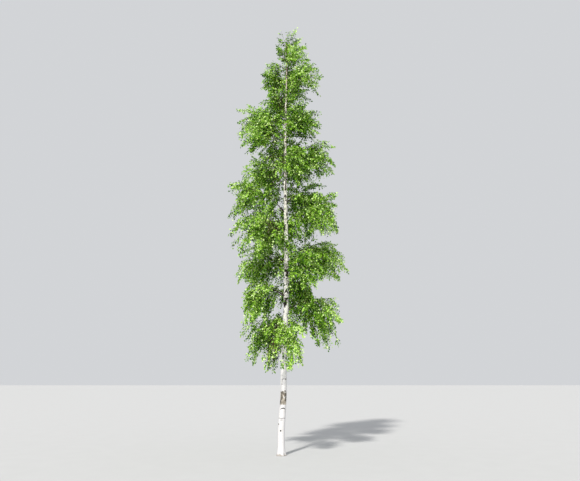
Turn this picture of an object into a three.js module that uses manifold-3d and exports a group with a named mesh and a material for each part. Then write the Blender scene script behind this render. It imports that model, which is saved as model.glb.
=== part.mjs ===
// A slender forest birch, about 11 m tall, as an assembly of separate solids:
// one tapering trunk with a root flare, the main boughs that leave it in a rising spiral, and at
// each bough's end one mass of foliage, which is a stem, its side shoots and the leaf sprays on them.
// Millimetres, +Z up. The origin is the middle of the flat cut at ground level.
import * as THREE from "three";
import { mergeVertices } from "three/addons/utils/BufferGeometryUtils.js";
import Module from "manifold-3d";

const wasm = await Module();
wasm.setup();

// Driving dimensions: the trunk
const TREE_HEIGHT = 11000; // ground to the end of the taper, which the leader shoot reaches
const TRUNK_TOP = 10150; // where the trunk's own solid stops and the leader shoot goes on
const TRUNK_RADIUS = 82; // under the bark at the ground, without the flare
const TAPER_POWER = 0.7;
const FLARE_OUT = 36; // how much wider the root flare is at the ground
const FLARE_HEIGHT = 75; // the height over which the flare fades to a third
const FLARE_LOBES = 5; // root buttresses
const FLARE_LOBE_DEPTH = 0.34;
const TRUNK_SIDES = 18;
const TRUNK_STEPS = 22;
const TIP_STRETCH = 200; // the trunk's last stretch, which the leader carries on in line
const RING_CROWDING = 1.35; // how much closer together the rings are in the flare than higher up

// The trunk stands a little to the left and leans right over its first metres, in two steps
const LEAN = 92;
const LEAN_STEPS = [
  { from: 450, to: 1400, share: 0.63 },
  { from: 2000, to: 3600, share: 0.37 },
];
const SWEEP_FROM = 2600;
const SWEEP = 18; // the slow bend from side to side above the lean
const SWEEP_HALF_WAVE = 3200;
const DEPTH_SWEEP = 42; // the same from front to back
const DEPTH_WAVE = 12500;

// The crown
const BOUGHS = 27;
const FIRST_BOUGH = 2850; // the heights at which the lowest and the highest leave the trunk
const LAST_BOUGH = 9750;
const HEIGHT_JITTER = 100;
const WIDEST = 1240; // how far the boughs and their stems reach from the trunk where the crown is widest
const WIDEST_AT = 4700;
const CROWN_BASE = 1950; // the lowest hanging leaves
const BASE_RADIUS = 1050; // the same reach there
const CROWN_TOP = 11300; // where the reach would come down to nothing
const TOP_ROUNDNESS = 1.6;
const SPIRAL = 137.508; // degrees from each bough to the next round the trunk
const FIRST_AZIMUTH = 262;
const AZIMUTH_JITTER = 11;

// A pair gives the value low in the crown and the value at its top
const BOUGH_RISE = [26, 62]; // degrees above level at which a bough leaves the trunk
const RISE_JITTER = 6;
const RISE_ROUNDNESS = 0.8; // the rise changes faster low in the crown
const BOUGH_SHARE = 0.26; // of the reach, where the bough gives way to its foliage
const BOUGH_SAG = [0.1, 0.02]; // drop at the tip, as a share of the length
const BOUGH_BASE = [21, 8.5]; // radius where it leaves the trunk
const BOUGH_TIP = [12, 5];
const BOUGH_SIDES = 5;
const BOUGH_STEPS = 3;
const REACH_VARIES = [0.88, 1.1];

const STEM_SAG = [0.55, 0.12];
const STEM_SHORT = 155; // how far before the end of the reach it stops, for the sprays that end it
const STEEPEST = 0.3; // the least level part of its direction that its length is worked out with
const STEM_TIP = 3.5;
const STEM_SIDES = 4;
const STEM_STEPS = 3;
const STEM_BARE = 0.12; // the share of a stem before its first spray
const LEADER_SHORT = 220; // how far under the tree's height the leader stops
const LEADER_SPREAD = 1.3; // its shoots' reach, as a share of the crown's there
const MASS_MIDDLE = 0.55; // along its stem
const MASS_DROP = [140, 0]; // and so far under it

// A pair for the shoots' opening and length gives the value at a stem's foot and the value at its tip
const SHOOT_STRIDE = 3; // the solids have every third of a stem's side shoots
const SHOOT_SPACING = 125; // from one of those to the next along the stem
const FEWEST_SHOOTS = 5;
const SHOOTS_ALONG = [0.06, 0.97]; // the part of the stem that bears shoots
const PLACE_VARIES = 0.6; // how much of the way to the next shoot one may be moved on
const SHOOT_OPENING = [62, 36]; // degrees between the stem and the shoot
const OPENING_JITTER = 8;
const ROLL_JITTER = 40;
const SHOOT_LENGTH = [0.6, 0.36]; // as a share of the reach
const REACH_ADDED = 120; // to the reach, so that the top's short boughs still have full shoots
const LENGTH_VARIES = [0.78, 1.15];
const SHOOT_LIFT = [-0.22, 0.12]; // added to its direction: shoots hang low in the crown and rise at its top
const SHOOT_SAG = [0.4, 0.1];
const SAG_VARIES = [0.7, 1.3];
const SHOOT_GIRTH = 0.62; // of the stem's, where the shoot leaves it
const SHOOT_TIP = 2.5;
const SHOOT_SIDES = 3;
const SHOOT_STEPS = 2;
const SHOOT_BARE = 0.3;

// The leaf sprays
const SPRAY_LENGTH = 440;
const SPRAY_WIDTH = 250;
const SPRAY_THICKNESS = 10;
const SPRAY_WIDEST = 0.45; // along the spray
const SPRAY_STEP = 150; // from one spray to the next along its shoot
const LAST_SPRAY = 0.9; // where on its shoot the spray that ends it is rooted
const SPRAY_TURN = [34, 62]; // degrees between the shoot and a spray at its side
const LAST_TURN = 9; // and the one that ends it
const SPRAY_HANG = [-0.75, -0.12]; // added to its direction
const HANG_VARIES = [0.5, 1.2];
const SPRAY_ROLL = [-0.9, 0.9];
const SPRAY_VARIES = [0.8, 1.12];

// Clearances
const GAP = 0.35; // between solids that carry each other
const LIMB_CLEARANCE = 6; // from foliage to trunk and boughs
const CELL_CLEARANCE = 3; // from a mass to the edge of its own space
const TRUNK_PIECES = 60; // straight pieces the trunk is read as for its clearance
const BOUGH_PIECES = 6;

// The seeds of the random numbers
const BOUGH_SEED = 101;
const BOUGH_SEED_STEP = 17;
const MASS_SEED = 5000;
const MASS_SEED_STEP = 977;
const SHOOT_SEED_STEP = 31;
const SPRAY_SEED_ADDED = 7;

const COLOURS = { bark: 0xe6e3dc, bough: 0x6b5a50, foliage: 0x7fae3c };

const UP = new THREE.Vector3(0, 0, 1);
const degrees = (a) => (a * Math.PI) / 180;
const lerp = (a, b, t) => a + (b - a) * t;
const within = ([a, b], t) => lerp(a, b, t);
const jitter = (by, t) => lerp(-by, by, t);

function smoothstep(from, to, value) {
  const t = Math.min(1, Math.max(0, (value - from) / (to - from)));
  return t * t * (3 - 2 * t);
}

// Repeatable random numbers from 0 to 1: each bough and shoot draws from a seed of its own
function seeded(seed) {
  let state = seed >>> 0;
  return () => {
    state = (state + 0x6d2b79f5) >>> 0;
    let mixed = Math.imul(state ^ (state >>> 15), state | 1);
    mixed ^= mixed + Math.imul(mixed ^ (mixed >>> 7), mixed | 61);
    return ((mixed ^ (mixed >>> 14)) >>> 0) / 4294967296;
  };
}

// The trunk's line and girth
function trunkCentre(height) {
  let leant = 0;
  for (const step of LEAN_STEPS) leant += step.share * smoothstep(step.from, step.to, height);
  const swept = SWEEP * Math.sin((Math.PI * (height - SWEEP_FROM)) / SWEEP_HALF_WAVE);
  const back = DEPTH_SWEEP * Math.sin((2 * Math.PI * height) / DEPTH_WAVE);
  return new THREE.Vector3(leant * (LEAN + swept), back, height);
}

function trunkRadius(height, angle) {
  const taper = TRUNK_RADIUS * Math.pow(Math.max(0, 1 - height / TREE_HEIGHT), TAPER_POWER);
  const lobes = 1 + FLARE_LOBE_DEPTH * Math.cos(FLARE_LOBES * angle);
  return taper + FLARE_OUT * Math.exp(-height / FLARE_HEIGHT) * lobes;
}

// The crown's radius at a height: nearly straight sides below, drawn in to a point above
function crownRadius(height) {
  if (height < WIDEST_AT)
    return lerp(BASE_RADIUS, WIDEST, smoothstep(CROWN_BASE, WIDEST_AT, height));
  const share = Math.min(1, (height - WIDEST_AT) / (CROWN_TOP - WIDEST_AT));
  return WIDEST * (1 - Math.pow(share, TOP_ROUNDNESS));
}

// A limb is an arc: it sets out along a direction, sags by a share of its length, and tapers
function limbPoint(limb, share) {
  return limb.origin
    .clone()
    .addScaledVector(limb.direction, limb.length * share)
    .addScaledVector(UP, -limb.sag * limb.length * share * share);
}

// The same on the straight pieces that the limb's solid is made of, so that what it bears is rooted in it
function chordPoint(limb, share, steps) {
  const step = Math.min(steps - 1, Math.floor(share * steps));
  return limbPoint(limb, step / steps).lerp(limbPoint(limb, (step + 1) / steps), share * steps - step);
}

function limbTangent(limb, share) {
  return limb.direction
    .clone()
    .addScaledVector(UP, -2 * limb.sag * share)
    .normalize();
}

// A direction turned away from an axis by an opening angle, to the side that roll names
function branched(axis, opening, roll) {
  const side = new THREE.Vector3().crossVectors(axis, Math.abs(axis.z) > 0.95 ? new THREE.Vector3(1, 0, 0) : UP);
  side.normalize();
  const over = new THREE.Vector3().crossVectors(side, axis);
  return axis
    .clone()
    .multiplyScalar(Math.cos(opening))
    .addScaledVector(side, Math.sin(opening) * Math.cos(roll))
    .addScaledVector(over, Math.sin(opening) * Math.sin(roll))
    .normalize();
}

// The bough that leaves the trunk at step i of the spiral, from the trunk's own middle
function boughAt(i) {
  const random = seeded(BOUGH_SEED + BOUGH_SEED_STEP * i);
  const up = i / (BOUGHS - 1);
  const height = lerp(FIRST_BOUGH, LAST_BOUGH, up) + jitter(HEIGHT_JITTER, random());
  const azimuth = degrees(FIRST_AZIMUTH - SPIRAL * i + jitter(AZIMUTH_JITTER, random()));
  const rise = degrees(within(BOUGH_RISE, Math.pow(up, RISE_ROUNDNESS)) + jitter(RISE_JITTER, random()));
  const reach = crownRadius(height) * within(REACH_VARIES, random());
  const level = Math.cos(rise);
  return {
    origin: trunkCentre(height),
    direction: new THREE.Vector3(Math.cos(azimuth) * level, Math.sin(azimuth) * level, Math.sin(rise)),
    length: (BOUGH_SHARE * reach) / level,
    sag: within(BOUGH_SAG, up),
    baseRadius: within(BOUGH_BASE, up),
    tipRadius: within(BOUGH_TIP, up),
    reach,
    up,
  };
}

// The stem that goes on from a bough's tip through its mass of foliage
function stemAfter(bough) {
  const tangent = limbTangent(bough, 1);
  const level = Math.max(STEEPEST, Math.hypot(tangent.x, tangent.y));
  return {
    origin: limbPoint(bough, 1).addScaledVector(tangent, GAP),
    direction: tangent,
    length: ((1 - BOUGH_SHARE) * bough.reach - STEM_SHORT) / level,
    sag: within(STEM_SAG, bough.up),
    baseRadius: bough.tipRadius,
    tipRadius: STEM_TIP,
    reach: bough.reach,
    up: bough.up,
  };
}

// The leader: the stem that goes on from the trunk's top
function leaderStem() {
  const along = trunkCentre(TRUNK_TOP).sub(trunkCentre(TRUNK_TOP - TIP_STRETCH)).normalize();
  return {
    origin: trunkCentre(TRUNK_TOP).addScaledVector(along, GAP),
    direction: along,
    length: TREE_HEIGHT - TRUNK_TOP - LEADER_SHORT,
    sag: 0,
    baseRadius: trunkRadius(TRUNK_TOP, 0),
    tipRadius: STEM_TIP,
    reach: LEADER_SPREAD * crownRadius(TRUNK_TOP),
    up: 1,
  };
}

// The side shoots of a stem, from its foot to its tip, turned on by the spiral from each to the next
function shootsOf(stem, seed) {
  const shoots = [];
  const count = SHOOT_STRIDE * Math.max(FEWEST_SHOOTS, Math.round(stem.length / SHOOT_SPACING));
  for (let k = 0; k < count; k++) {
    const random = seeded(seed + SHOOT_SEED_STEP * k);
    const share = within(SHOOTS_ALONG, (k + PLACE_VARIES * random()) / count);
    const roll = degrees(SPIRAL * k + ROLL_JITTER * random());
    const opening = degrees(within(SHOOT_OPENING, share) + jitter(OPENING_JITTER, random()));
    const direction = branched(limbTangent(stem, share), opening, roll);
    direction.addScaledVector(UP, within(SHOOT_LIFT, stem.up)).normalize();
    shoots.push({
      origin: chordPoint(stem, share, STEM_STEPS),
      direction,
      length: within(SHOOT_LENGTH, share) * (stem.reach + REACH_ADDED) * within(LENGTH_VARIES, random()),
      sag: within(SHOOT_SAG, stem.up) * within(SAG_VARIES, random()),
      baseRadius: SHOOT_GIRTH * lerp(stem.baseRadius, stem.tipRadius, share),
      tipRadius: SHOOT_TIP,
      seed: seed + SHOOT_SEED_STEP * k + SPRAY_SEED_ADDED,
      up: stem.up,
    });
  }
  return shoots;
}

// The leaf sprays of a stem or shoot: to its left and right by turns, hanging, and one that ends it
function spraysOf(limb, steps, bare) {
  const random = seeded(limb.seed);
  const sprays = [];
  const count = Math.max(1, Math.floor(((1 - bare) * limb.length) / SPRAY_STEP));
  for (let n = 0; n <= count; n++) {
    const share = lerp(bare, LAST_SPRAY, n / count);
    const turn = n === count ? LAST_TURN : within(SPRAY_TURN, random());
    const direction = limbTangent(limb, share).applyAxisAngle(UP, degrees(n % 2 ? turn : -turn));
    direction.addScaledVector(UP, within(SPRAY_HANG, limb.up) * within(HANG_VARIES, random())).normalize();
    sprays.push({
      origin: chordPoint(limb, share, steps),
      direction,
      roll: within(SPRAY_ROLL, random()),
      scale: within(SPRAY_VARIES, random()),
    });
  }
  return sprays;
}

// Solids

function solidFrom(geometry) {
  geometry.deleteAttribute("normal");
  geometry.deleteAttribute("uv");
  const merged = mergeVertices(geometry, 1e-3);
  return new wasm.Manifold(
    new wasm.Mesh({
      numProp: 3,
      vertProperties: merged.attributes.position.array,
      triVerts: new Uint32Array(merged.index.array),
    }),
  );
}

// A cylinder or cone bent along a line that stays in one upright plane, which aside stands square to.
// place(share) gives the line's point and tangent, radius(share, angle) its girth. A cone's tip and the middles
// of flat ends lie on the line itself
function bent(geometry, aside, place, radius) {
  const position = geometry.attributes.position;
  for (let i = 0; i < position.count; i++) {
    const share = position.getY(i) + 0.5;
    const out = Math.hypot(position.getX(i), position.getZ(i)) > 1e-6 ? 1 : 0;
    const angle = Math.atan2(position.getZ(i), position.getX(i));
    const { point, tangent } = place(share);
    const across = new THREE.Vector3().crossVectors(aside, tangent);
    const girth = out * radius(share, angle);
    point.addScaledVector(aside, Math.cos(angle) * girth).addScaledVector(across, Math.sin(angle) * girth);
    position.setXYZ(i, point.x, point.y, point.z);
  }
  return geometry;
}

// The trunk's rings lie level, closer together in the flare, so its foot is a flat cut at the ground
function trunkSolid(spare) {
  const heightAt = (share) => TRUNK_TOP * Math.pow(share, RING_CROWDING);
  return solidFrom(
    bent(
      new THREE.CylinderGeometry(1, 1, 1, TRUNK_SIDES, TRUNK_STEPS),
      new THREE.Vector3(1, 0, 0),
      (share) => ({ point: trunkCentre(heightAt(share)), tangent: UP.clone() }),
      (share, angle) => trunkRadius(heightAt(share), angle) + spare,
    ),
  );
}

function limbSolid(limb, shape) {
  return solidFrom(
    bent(
      shape,
      new THREE.Vector3(limb.direction.y, -limb.direction.x, 0).normalize(),
      (share) => ({ point: limbPoint(limb, share), tangent: limbTangent(limb, share) }),
      (share) => lerp(limb.baseRadius, limb.tipRadius, share),
    ),
  );
}

// A spray is a thin blade, folded like a roof: a ridge from its root, sunk in the shoot that bears it, to its tip,
// and under the ridge an edge from side to side
function sprayCorners(spray) {
  const length = SPRAY_LENGTH * spray.scale;
  const half = (SPRAY_WIDTH * spray.scale) / 2;
  const flat = branched(spray.direction, Math.PI / 2, spray.roll);
  const above = new THREE.Vector3().crossVectors(flat, spray.direction);
  const middle = spray.origin
    .clone()
    .addScaledVector(spray.direction, SPRAY_WIDEST * length)
    .addScaledVector(above, -SPRAY_THICKNESS);
  return {
    root: spray.origin.clone(),
    tip: spray.origin.clone().addScaledVector(spray.direction, length),
    left: middle.clone().addScaledVector(flat, half),
    right: middle.clone().addScaledVector(flat, -half),
  };
}

function spraySolid(root, tip, left, right) {
  const geometry = new THREE.BufferGeometry().setFromPoints([root, left, tip, right]);
  geometry.setIndex([0, 1, 2, 0, 2, 3, 0, 3, 1, 2, 1, 3]);
  return solidFrom(geometry);
}

// What keeps each mass to its own space: a point belongs to the mass whose middle is nearest
function ownsAll(index, points) {
  return points.every((point) => {
    const mine = point.distanceTo(middles[index]);
    return middles.every((middle, j) => j === index || point.distanceTo(middle) > mine + CELL_CLEARANCE);
  });
}

// The gap between two straight pieces, from a to b and from c to d
function segmentGap(a, b, c, d) {
  const u = b.clone().sub(a);
  const v = d.clone().sub(c);
  const w = a.clone().sub(c);
  const uu = u.dot(u);
  const vv = v.dot(v);
  const uv = u.dot(v);
  const spread = uu * vv - uv * uv;
  let s = spread > 1e-9 ? (uv * v.dot(w) - vv * u.dot(w)) / spread : 0;
  s = Math.min(1, Math.max(0, s));
  const t = Math.min(1, Math.max(0, (uv * s + v.dot(w)) / vv));
  s = Math.min(1, Math.max(0, (uv * t - u.dot(w)) / uu));
  return a.clone().addScaledVector(u, s).distanceTo(c.clone().addScaledVector(v, t));
}

// A limb read as a chain of short straight pieces
function chainOf(steps, point, radius) {
  const chain = [];
  for (let k = 0; k < steps; k++)
    chain.push({ a: point(k / steps), b: point((k + 1) / steps), radius: radius(k / steps) });
  return chain;
}

function clearOf(pieces, a, b, radius) {
  return pieces.every((piece) => segmentGap(a, b, piece.a, piece.b) > piece.radius + radius + LIMB_CLEARANCE);
}

const boughs = Array.from({ length: BOUGHS }, (_, i) => boughAt(i));
const stems = [...boughs.map(stemAfter), leaderStem()];
const middles = stems.map((stem) => limbPoint(stem, MASS_MIDDLE).addScaledVector(UP, -within(MASS_DROP, stem.up)));
const trunkChain = chainOf(
  TRUNK_PIECES,
  (share) => trunkCentre(share * TRUNK_TOP),
  (share) => trunkRadius(share * TRUNK_TOP, 0),
);
const boughChains = boughs.map((bough) =>
  chainOf(
    BOUGH_PIECES,
    (share) => limbPoint(bough, share),
    (share) => lerp(bough.baseRadius, bough.tipRadius, share),
  ),
);

// A mass of foliage: its stem, every third side shoot, and their sprays. What would leave its space
// or touch a limb is skipped
function massSolid(index) {
  const stem = stems[index];
  const seed = MASS_SEED + MASS_SEED_STEP * index;
  const limbs = [...trunkChain, ...boughChains.flat()];
  const sprays = spraysOf({ ...stem, seed }, STEM_STEPS, STEM_BARE);
  const parts = [limbSolid(stem, new THREE.CylinderGeometry(1, 1, 1, STEM_SIDES, STEM_STEPS))];
  shootsOf(stem, seed).forEach((shoot, k) => {
    if (k % SHOOT_STRIDE) return;
    const [root, middle, tip] = [0, 0.5, 1].map((share) => limbPoint(shoot, share));
    if (!ownsAll(index, [root, middle, tip])) return;
    if (!clearOf(limbs, root, middle, shoot.baseRadius) || !clearOf(limbs, middle, tip, shoot.tipRadius)) return;
    parts.push(limbSolid(shoot, new THREE.ConeGeometry(1, 1, SHOOT_SIDES, SHOOT_STEPS)));
    sprays.push(...spraysOf(shoot, SHOOT_STEPS, SHOOT_BARE));
  });
  for (const { root, tip, left, right } of sprays.map(sprayCorners)) {
    if (!ownsAll(index, [root, tip, left, right])) continue;
    if (!clearOf(limbs, root, tip, SPRAY_THICKNESS) || !clearOf(limbs, left, right, SPRAY_THICKNESS)) continue;
    parts.push(spraySolid(root, tip, left, right));
  }
  return wasm.Manifold.union(parts);
}

// A solid as a named mesh, placed at its root
function meshOf(name, solid, root, colour, roughness) {
  const { numProp, vertProperties, triVerts } = solid.getMesh();
  const points = new Float32Array((vertProperties.length / numProp) * 3);
  for (let i = 0; i < points.length / 3; i++)
    for (let axis = 0; axis < 3; axis++)
      points[3 * i + axis] = vertProperties[numProp * i + axis] - root.getComponent(axis);
  const geometry = new THREE.BufferGeometry();
  geometry.setAttribute("position", new THREE.BufferAttribute(points, 3));
  geometry.setIndex(new THREE.BufferAttribute(new Uint32Array(triVerts), 1));
  geometry.computeVertexNormals();
  const mesh = new THREE.Mesh(geometry, new THREE.MeshStandardMaterial({ color: colour, roughness, metalness: 0 }));
  mesh.name = name;
  mesh.position.copy(root);
  return mesh;
}

const numbered = (word, i) => `${word}_${String(i + 1).padStart(2, "0")}`;

const tree = new THREE.Group();
tree.name = "birch_tree";
tree.add(meshOf("trunk", trunkSolid(0), new THREE.Vector3(), COLOURS.bark, 0.7));

const grownTrunk = trunkSolid(GAP);
boughs.forEach((bough, i) => {
  const solid = limbSolid(bough, new THREE.CylinderGeometry(1, 1, 1, BOUGH_SIDES, BOUGH_STEPS)).subtract(grownTrunk);
  tree.add(meshOf(numbered("bough", i), solid, bough.origin, COLOURS.bough, 0.75));
});

stems.forEach((stem, i) => {
  const name = i < BOUGHS ? numbered("foliage", i) : "foliage_top";
  tree.add(meshOf(name, massSolid(i), stem.origin, COLOURS.foliage, 0.6));
});

export default tree;
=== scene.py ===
# %% [markdown]
# A slender forest birch in summer leaf, 11 m tall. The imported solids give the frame: a trunk, boughs
# that leave it in a rising spiral, and a mass of foliage at the end of each bough. This file gives
# them their looks: white bark with its marks, fine twigs, and small leaves one by one.
# Everything is in metres with +Z up, and the origin is the middle of the flat cut under the trunk.
# The frame is loaded first, because every piece made here is placed on it.

# %% Load the frame
import math

import bpy
import numpy as np
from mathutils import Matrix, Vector, noise


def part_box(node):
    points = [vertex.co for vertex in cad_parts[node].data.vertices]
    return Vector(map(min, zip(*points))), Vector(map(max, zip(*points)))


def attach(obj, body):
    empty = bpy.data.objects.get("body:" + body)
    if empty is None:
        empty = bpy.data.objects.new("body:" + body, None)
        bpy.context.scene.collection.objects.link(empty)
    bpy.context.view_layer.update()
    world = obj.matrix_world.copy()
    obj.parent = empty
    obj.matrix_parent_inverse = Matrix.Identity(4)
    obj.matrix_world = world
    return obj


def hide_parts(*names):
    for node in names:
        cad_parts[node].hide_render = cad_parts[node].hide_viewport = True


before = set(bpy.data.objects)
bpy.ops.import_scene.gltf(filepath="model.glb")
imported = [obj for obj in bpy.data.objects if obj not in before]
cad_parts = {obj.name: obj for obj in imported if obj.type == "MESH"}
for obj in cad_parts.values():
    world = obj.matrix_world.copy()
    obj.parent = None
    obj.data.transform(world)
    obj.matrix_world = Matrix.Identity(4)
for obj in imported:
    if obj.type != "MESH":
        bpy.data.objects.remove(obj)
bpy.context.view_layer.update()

# %% [markdown]
# A forest birch is seen by someone who stands near it and looks up a little: the foot is below the
# eye, and the crown is seen from beneath. A far camera with a long lens would also show all of the
# tree, but it would flatten the crown, so the eye stands as near as the tree's height allows.

# %% The eye
EYE_HEIGHT = 1.6
EYE_DISTANCE = 12.8
EYE_SIDEWAYS = 0.2
EYE_TILT = 15.2
LENS = 32.5
SENSOR = 36
SEES_AS_FAR_AS = 1000

eye_data = bpy.data.cameras.new("eye")
eye_data.lens = LENS
eye_data.sensor_width = SENSOR
eye_data.clip_end = SEES_AS_FAR_AS
eye = bpy.data.objects.new("eye", eye_data)
eye.location = (EYE_SIDEWAYS, -EYE_DISTANCE, EYE_HEIGHT)
eye.rotation_euler = (math.radians(90 + EYE_TILT), 0, 0)
bpy.context.scene.collection.objects.link(eye)
bpy.context.scene.camera = eye
print("the eye is", EYE_DISTANCE, "m away and looks up", EYE_TILT, "degrees")

# %% [markdown]
# Light reaches the tree from the whole sky, and a soft sun stands halfway up it, behind the viewer's
# left shoulder, so that it also reaches the stem under the crown. A bare sun would leave black
# shadows among the leaves, and the sky alone would make them look flat, so both are used: a pale
# world all round, and one sun wide enough to blur its shadows.

# %% Light and floor
SKY = (0.95, 0.97, 1.0)
SKY_STRENGTH = 0.68
SUN_COLOUR = (1.0, 0.97, 0.9)
SUN_STRENGTH = 4.2
SUN_ACROSS = 4
SUN_WAY = Vector((0.30, 0.88, -0.75))
FLOOR_SIZE = 700
FLOOR_DROP = 0.002
FLOOR_DARK = (0.49, 0.495, 0.505)
FLOOR_LIGHT = (0.52, 0.525, 0.535)
FLOOR_CLOUDS = (2, 2)
FLOOR_ROUGHNESS = 0.9

world = bpy.data.worlds.new("studio")
world.use_nodes = True
background = world.node_tree.nodes["Background"]
background.inputs["Color"].default_value = (*SKY, 1)
background.inputs["Strength"].default_value = SKY_STRENGTH
bpy.context.scene.world = world
bpy.context.scene.view_settings.view_transform = "Standard"

sun_data = bpy.data.lights.new("sun", "SUN")
sun_data.energy = SUN_STRENGTH
sun_data.color = SUN_COLOUR
sun_data.angle = math.radians(SUN_ACROSS)
sun = bpy.data.objects.new("sun", sun_data)
sun.rotation_euler = SUN_WAY.to_track_quat("-Z", "Y").to_euler()
bpy.context.scene.collection.objects.link(sun)

bpy.ops.object.select_all(action="DESELECT")
bpy.ops.mesh.primitive_plane_add(size=FLOOR_SIZE, location=(0, 0, -FLOOR_DROP))
floor = bpy.context.object
floor.name = "floor"
bpy.ops.object.transform_apply(location=True, rotation=False, scale=False)
print("made the sun, the sky and", floor.name)

# %% [markdown]
# A finish is a tree of shader nodes, and most of them only add, multiply or blend. Linking each by
# hand hides the idea, so a small class wraps a node's output and lets Python's own signs be written
# on it.

# %% Values that come out of shader nodes
class Value:
    """A number or a colour that comes out of a shader node."""

    def __init__(self, finish, socket):
        self.finish = finish
        self.socket = socket

    def maths(self, operation, first, second):
        return self.finish.node("ShaderNodeMath", {"operation": operation}, {0: first, 1: second})

    def __add__(self, other):
        return self.maths("ADD", self, other)

    def __radd__(self, other):
        return self.maths("ADD", other, self)

    def __sub__(self, other):
        return self.maths("SUBTRACT", self, other)

    def __rsub__(self, other):
        return self.maths("SUBTRACT", other, self)

    def __mul__(self, other):
        return self.maths("MULTIPLY", self, other)

    def __rmul__(self, other):
        return self.maths("MULTIPLY", other, self)

    def __abs__(self):
        return self.maths("ABSOLUTE", self, 0.0)

    def fade(self, low, high):
        """0 up to low, 1 from high on, and a smooth change between them."""
        ends = {"Value": self, "From Min": low, "From Max": high}
        return self.finish.node("ShaderNodeMapRange", {"interpolation_type": "SMOOTHSTEP"}, ends)


print("a value can be added, subtracted, multiplied and faded")

# %% [markdown]
# A finish could be written as one long list of nodes and links, but that reads like wiring. So a
# second class holds one finish and adds every kind of node by one method, with short names for the
# few kinds that are needed again and again. The floor gets the first one, a faintly clouded grey.

# %% A finish, and the floor's
class Finish:
    """A material, whose nodes are added one by one."""

    def __init__(self, name):
        self.material = bpy.data.materials.new(name)
        self.material.use_nodes = True
        self.tree = self.material.node_tree
        self.tree.nodes.clear()

    def node(self, kind, settings, inputs, output=0):
        made = self.tree.nodes.new(kind)
        for name, value in settings.items():
            setattr(made, name, value)
        for name, value in inputs.items():
            if isinstance(value, Value):
                self.tree.links.new(value.socket, made.inputs[name])
            else:
                made.inputs[name].default_value = value
        return Value(self, made.outputs[output]) if made.outputs else None

    def place(self):
        """Where on the piece a point is."""
        return self.node("ShaderNodeTexCoord", {}, {}, "Object")

    def height(self):
        return self.node("ShaderNodeSeparateXYZ", {}, {"Vector": self.place()}, "Z")

    def attribute(self, name):
        return self.node("ShaderNodeAttribute", {"attribute_name": name}, {}, "Fac")

    def grain(self, across, upward, detail=3.0, roughness=0.5):
        """Noise with so many grains in a metre across the piece and so many upward."""
        ways = {0: self.place(), 1: (across, across, upward)}
        stretched = self.node("ShaderNodeVectorMath", {"operation": "MULTIPLY"}, ways)
        sizes = {"Vector": stretched, "Scale": 1.0, "Detail": detail, "Roughness": roughness}
        return self.node("ShaderNodeTexNoise", {}, sizes)

    def spots(self, grain, edge):
        """Spots of noise: nothing up to the edge's first value, and all from its second on."""
        return self.grain(*grain).fade(*edge)

    def blend(self, share, first, second):
        """A colour between two colours."""
        colours = [c if isinstance(c, Value) else (*c, 1) for c in (first, second)]
        settings = {"data_type": "RGBA", "clamp_factor": True}
        return self.node("ShaderNodeMix", settings, {0: share, 6: colours[0], 7: colours[1]}, 2)

    def bump(self, height, distance, strength=1.0):
        sizes = {"Height": height, "Distance": distance, "Strength": strength}
        return self.node("ShaderNodeBump", {}, sizes)

    def surface(self, **inputs):
        """The shader itself, with its sockets named in lower case."""
        named = {name.replace("_", " ").title(): value for name, value in inputs.items()}
        named = {name.replace("Ior", "IOR"): value for name, value in named.items()}
        return self.node("ShaderNodeBsdfPrincipled", {}, named)

    def end(self, shader):
        self.node("ShaderNodeOutputMaterial", {}, {"Surface": shader})
        return self.material


floor_finish = Finish("pale_floor")
mottle = floor_finish.blend(floor_finish.grain(*FLOOR_CLOUDS), FLOOR_DARK, FLOOR_LIGHT)
floor_finish.end(floor_finish.surface(base_color=mottle, roughness=FLOOR_ROUGHNESS))
floor.data.materials.append(floor_finish.material)
print("the floor has the finish", floor.data.materials[0].name)

# %% [markdown]
# The tree was grown by a rule: sizes, a few curves and seeded random numbers. Its solids hold the
# trunk, the boughs and every third shoot. To grow finer twigs that still come out of the same limbs,
# the rule is written again here, with the same seeds, and then carried on. Reading the twigs back
# from the solids would be possible too, but a rule is shorter and can be made finer.

# %% Sizes of the trunk and the crown
TREE_HEIGHT = 11.0
TRUNK_TOP = 10.15
TRUNK_RADIUS = 0.082
TAPER_POWER = 0.7
FLARE_OUT = 0.036
FLARE_HEIGHT = 0.075
FLARE_LOBES = 5
FLARE_LOBE_DEPTH = 0.34
LEAN = 0.092
LEAN_STEPS = ((0.45, 1.4, 0.63), (2.0, 3.6, 0.37))
SWEEP_FROM = 2.6
SWEEP = 0.018
SWEEP_HALF_WAVE = 3.2
DEPTH_SWEEP = 0.042
DEPTH_WAVE = 12.5

WIDEST = 1.24
WIDEST_AT = 4.7
CROWN_BASE = 1.95
BASE_RADIUS = 1.05
CROWN_TOP = 11.3
TOP_ROUNDNESS = 1.6
print("the tree is", TREE_HEIGHT, "m tall, and its trunk ends at", TRUNK_TOP, "m")

# %% [markdown]
# The tree's chances come from a few lines here and not from a library, because they have to be the
# same ones that the solids were drawn with. A seed always gives the same numbers, so the tree comes
# out the same each time. Two more helpers turn a random share into a value.

# %% Random numbers and shares
WORD = 0xFFFFFFFF
STRIDE = 0x6D2B79F5


def seeded(seed):
    """Repeatable random numbers from 0 to 1."""
    state = seed & WORD

    def draw():
        nonlocal state
        state = (state + STRIDE) & WORD
        mixed = ((state ^ (state >> 15)) * (state | 1)) & WORD
        mixed ^= (mixed + ((mixed ^ (mixed >> 7)) * (mixed | 61))) & WORD
        return ((mixed ^ (mixed >> 14)) & WORD) / (WORD + 1)

    return draw


def within(pair, share):
    """The value at a share of the way from the first of a pair to the second."""
    return pair[0] + (pair[1] - pair[0]) * share


def jitter(by, share):
    """A change of up to so much, down or up, from a random share of 0 to 1."""
    return by * (2 * share - 1)


print("the first number of seed 1 is", round(seeded(1)(), 4))

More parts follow.
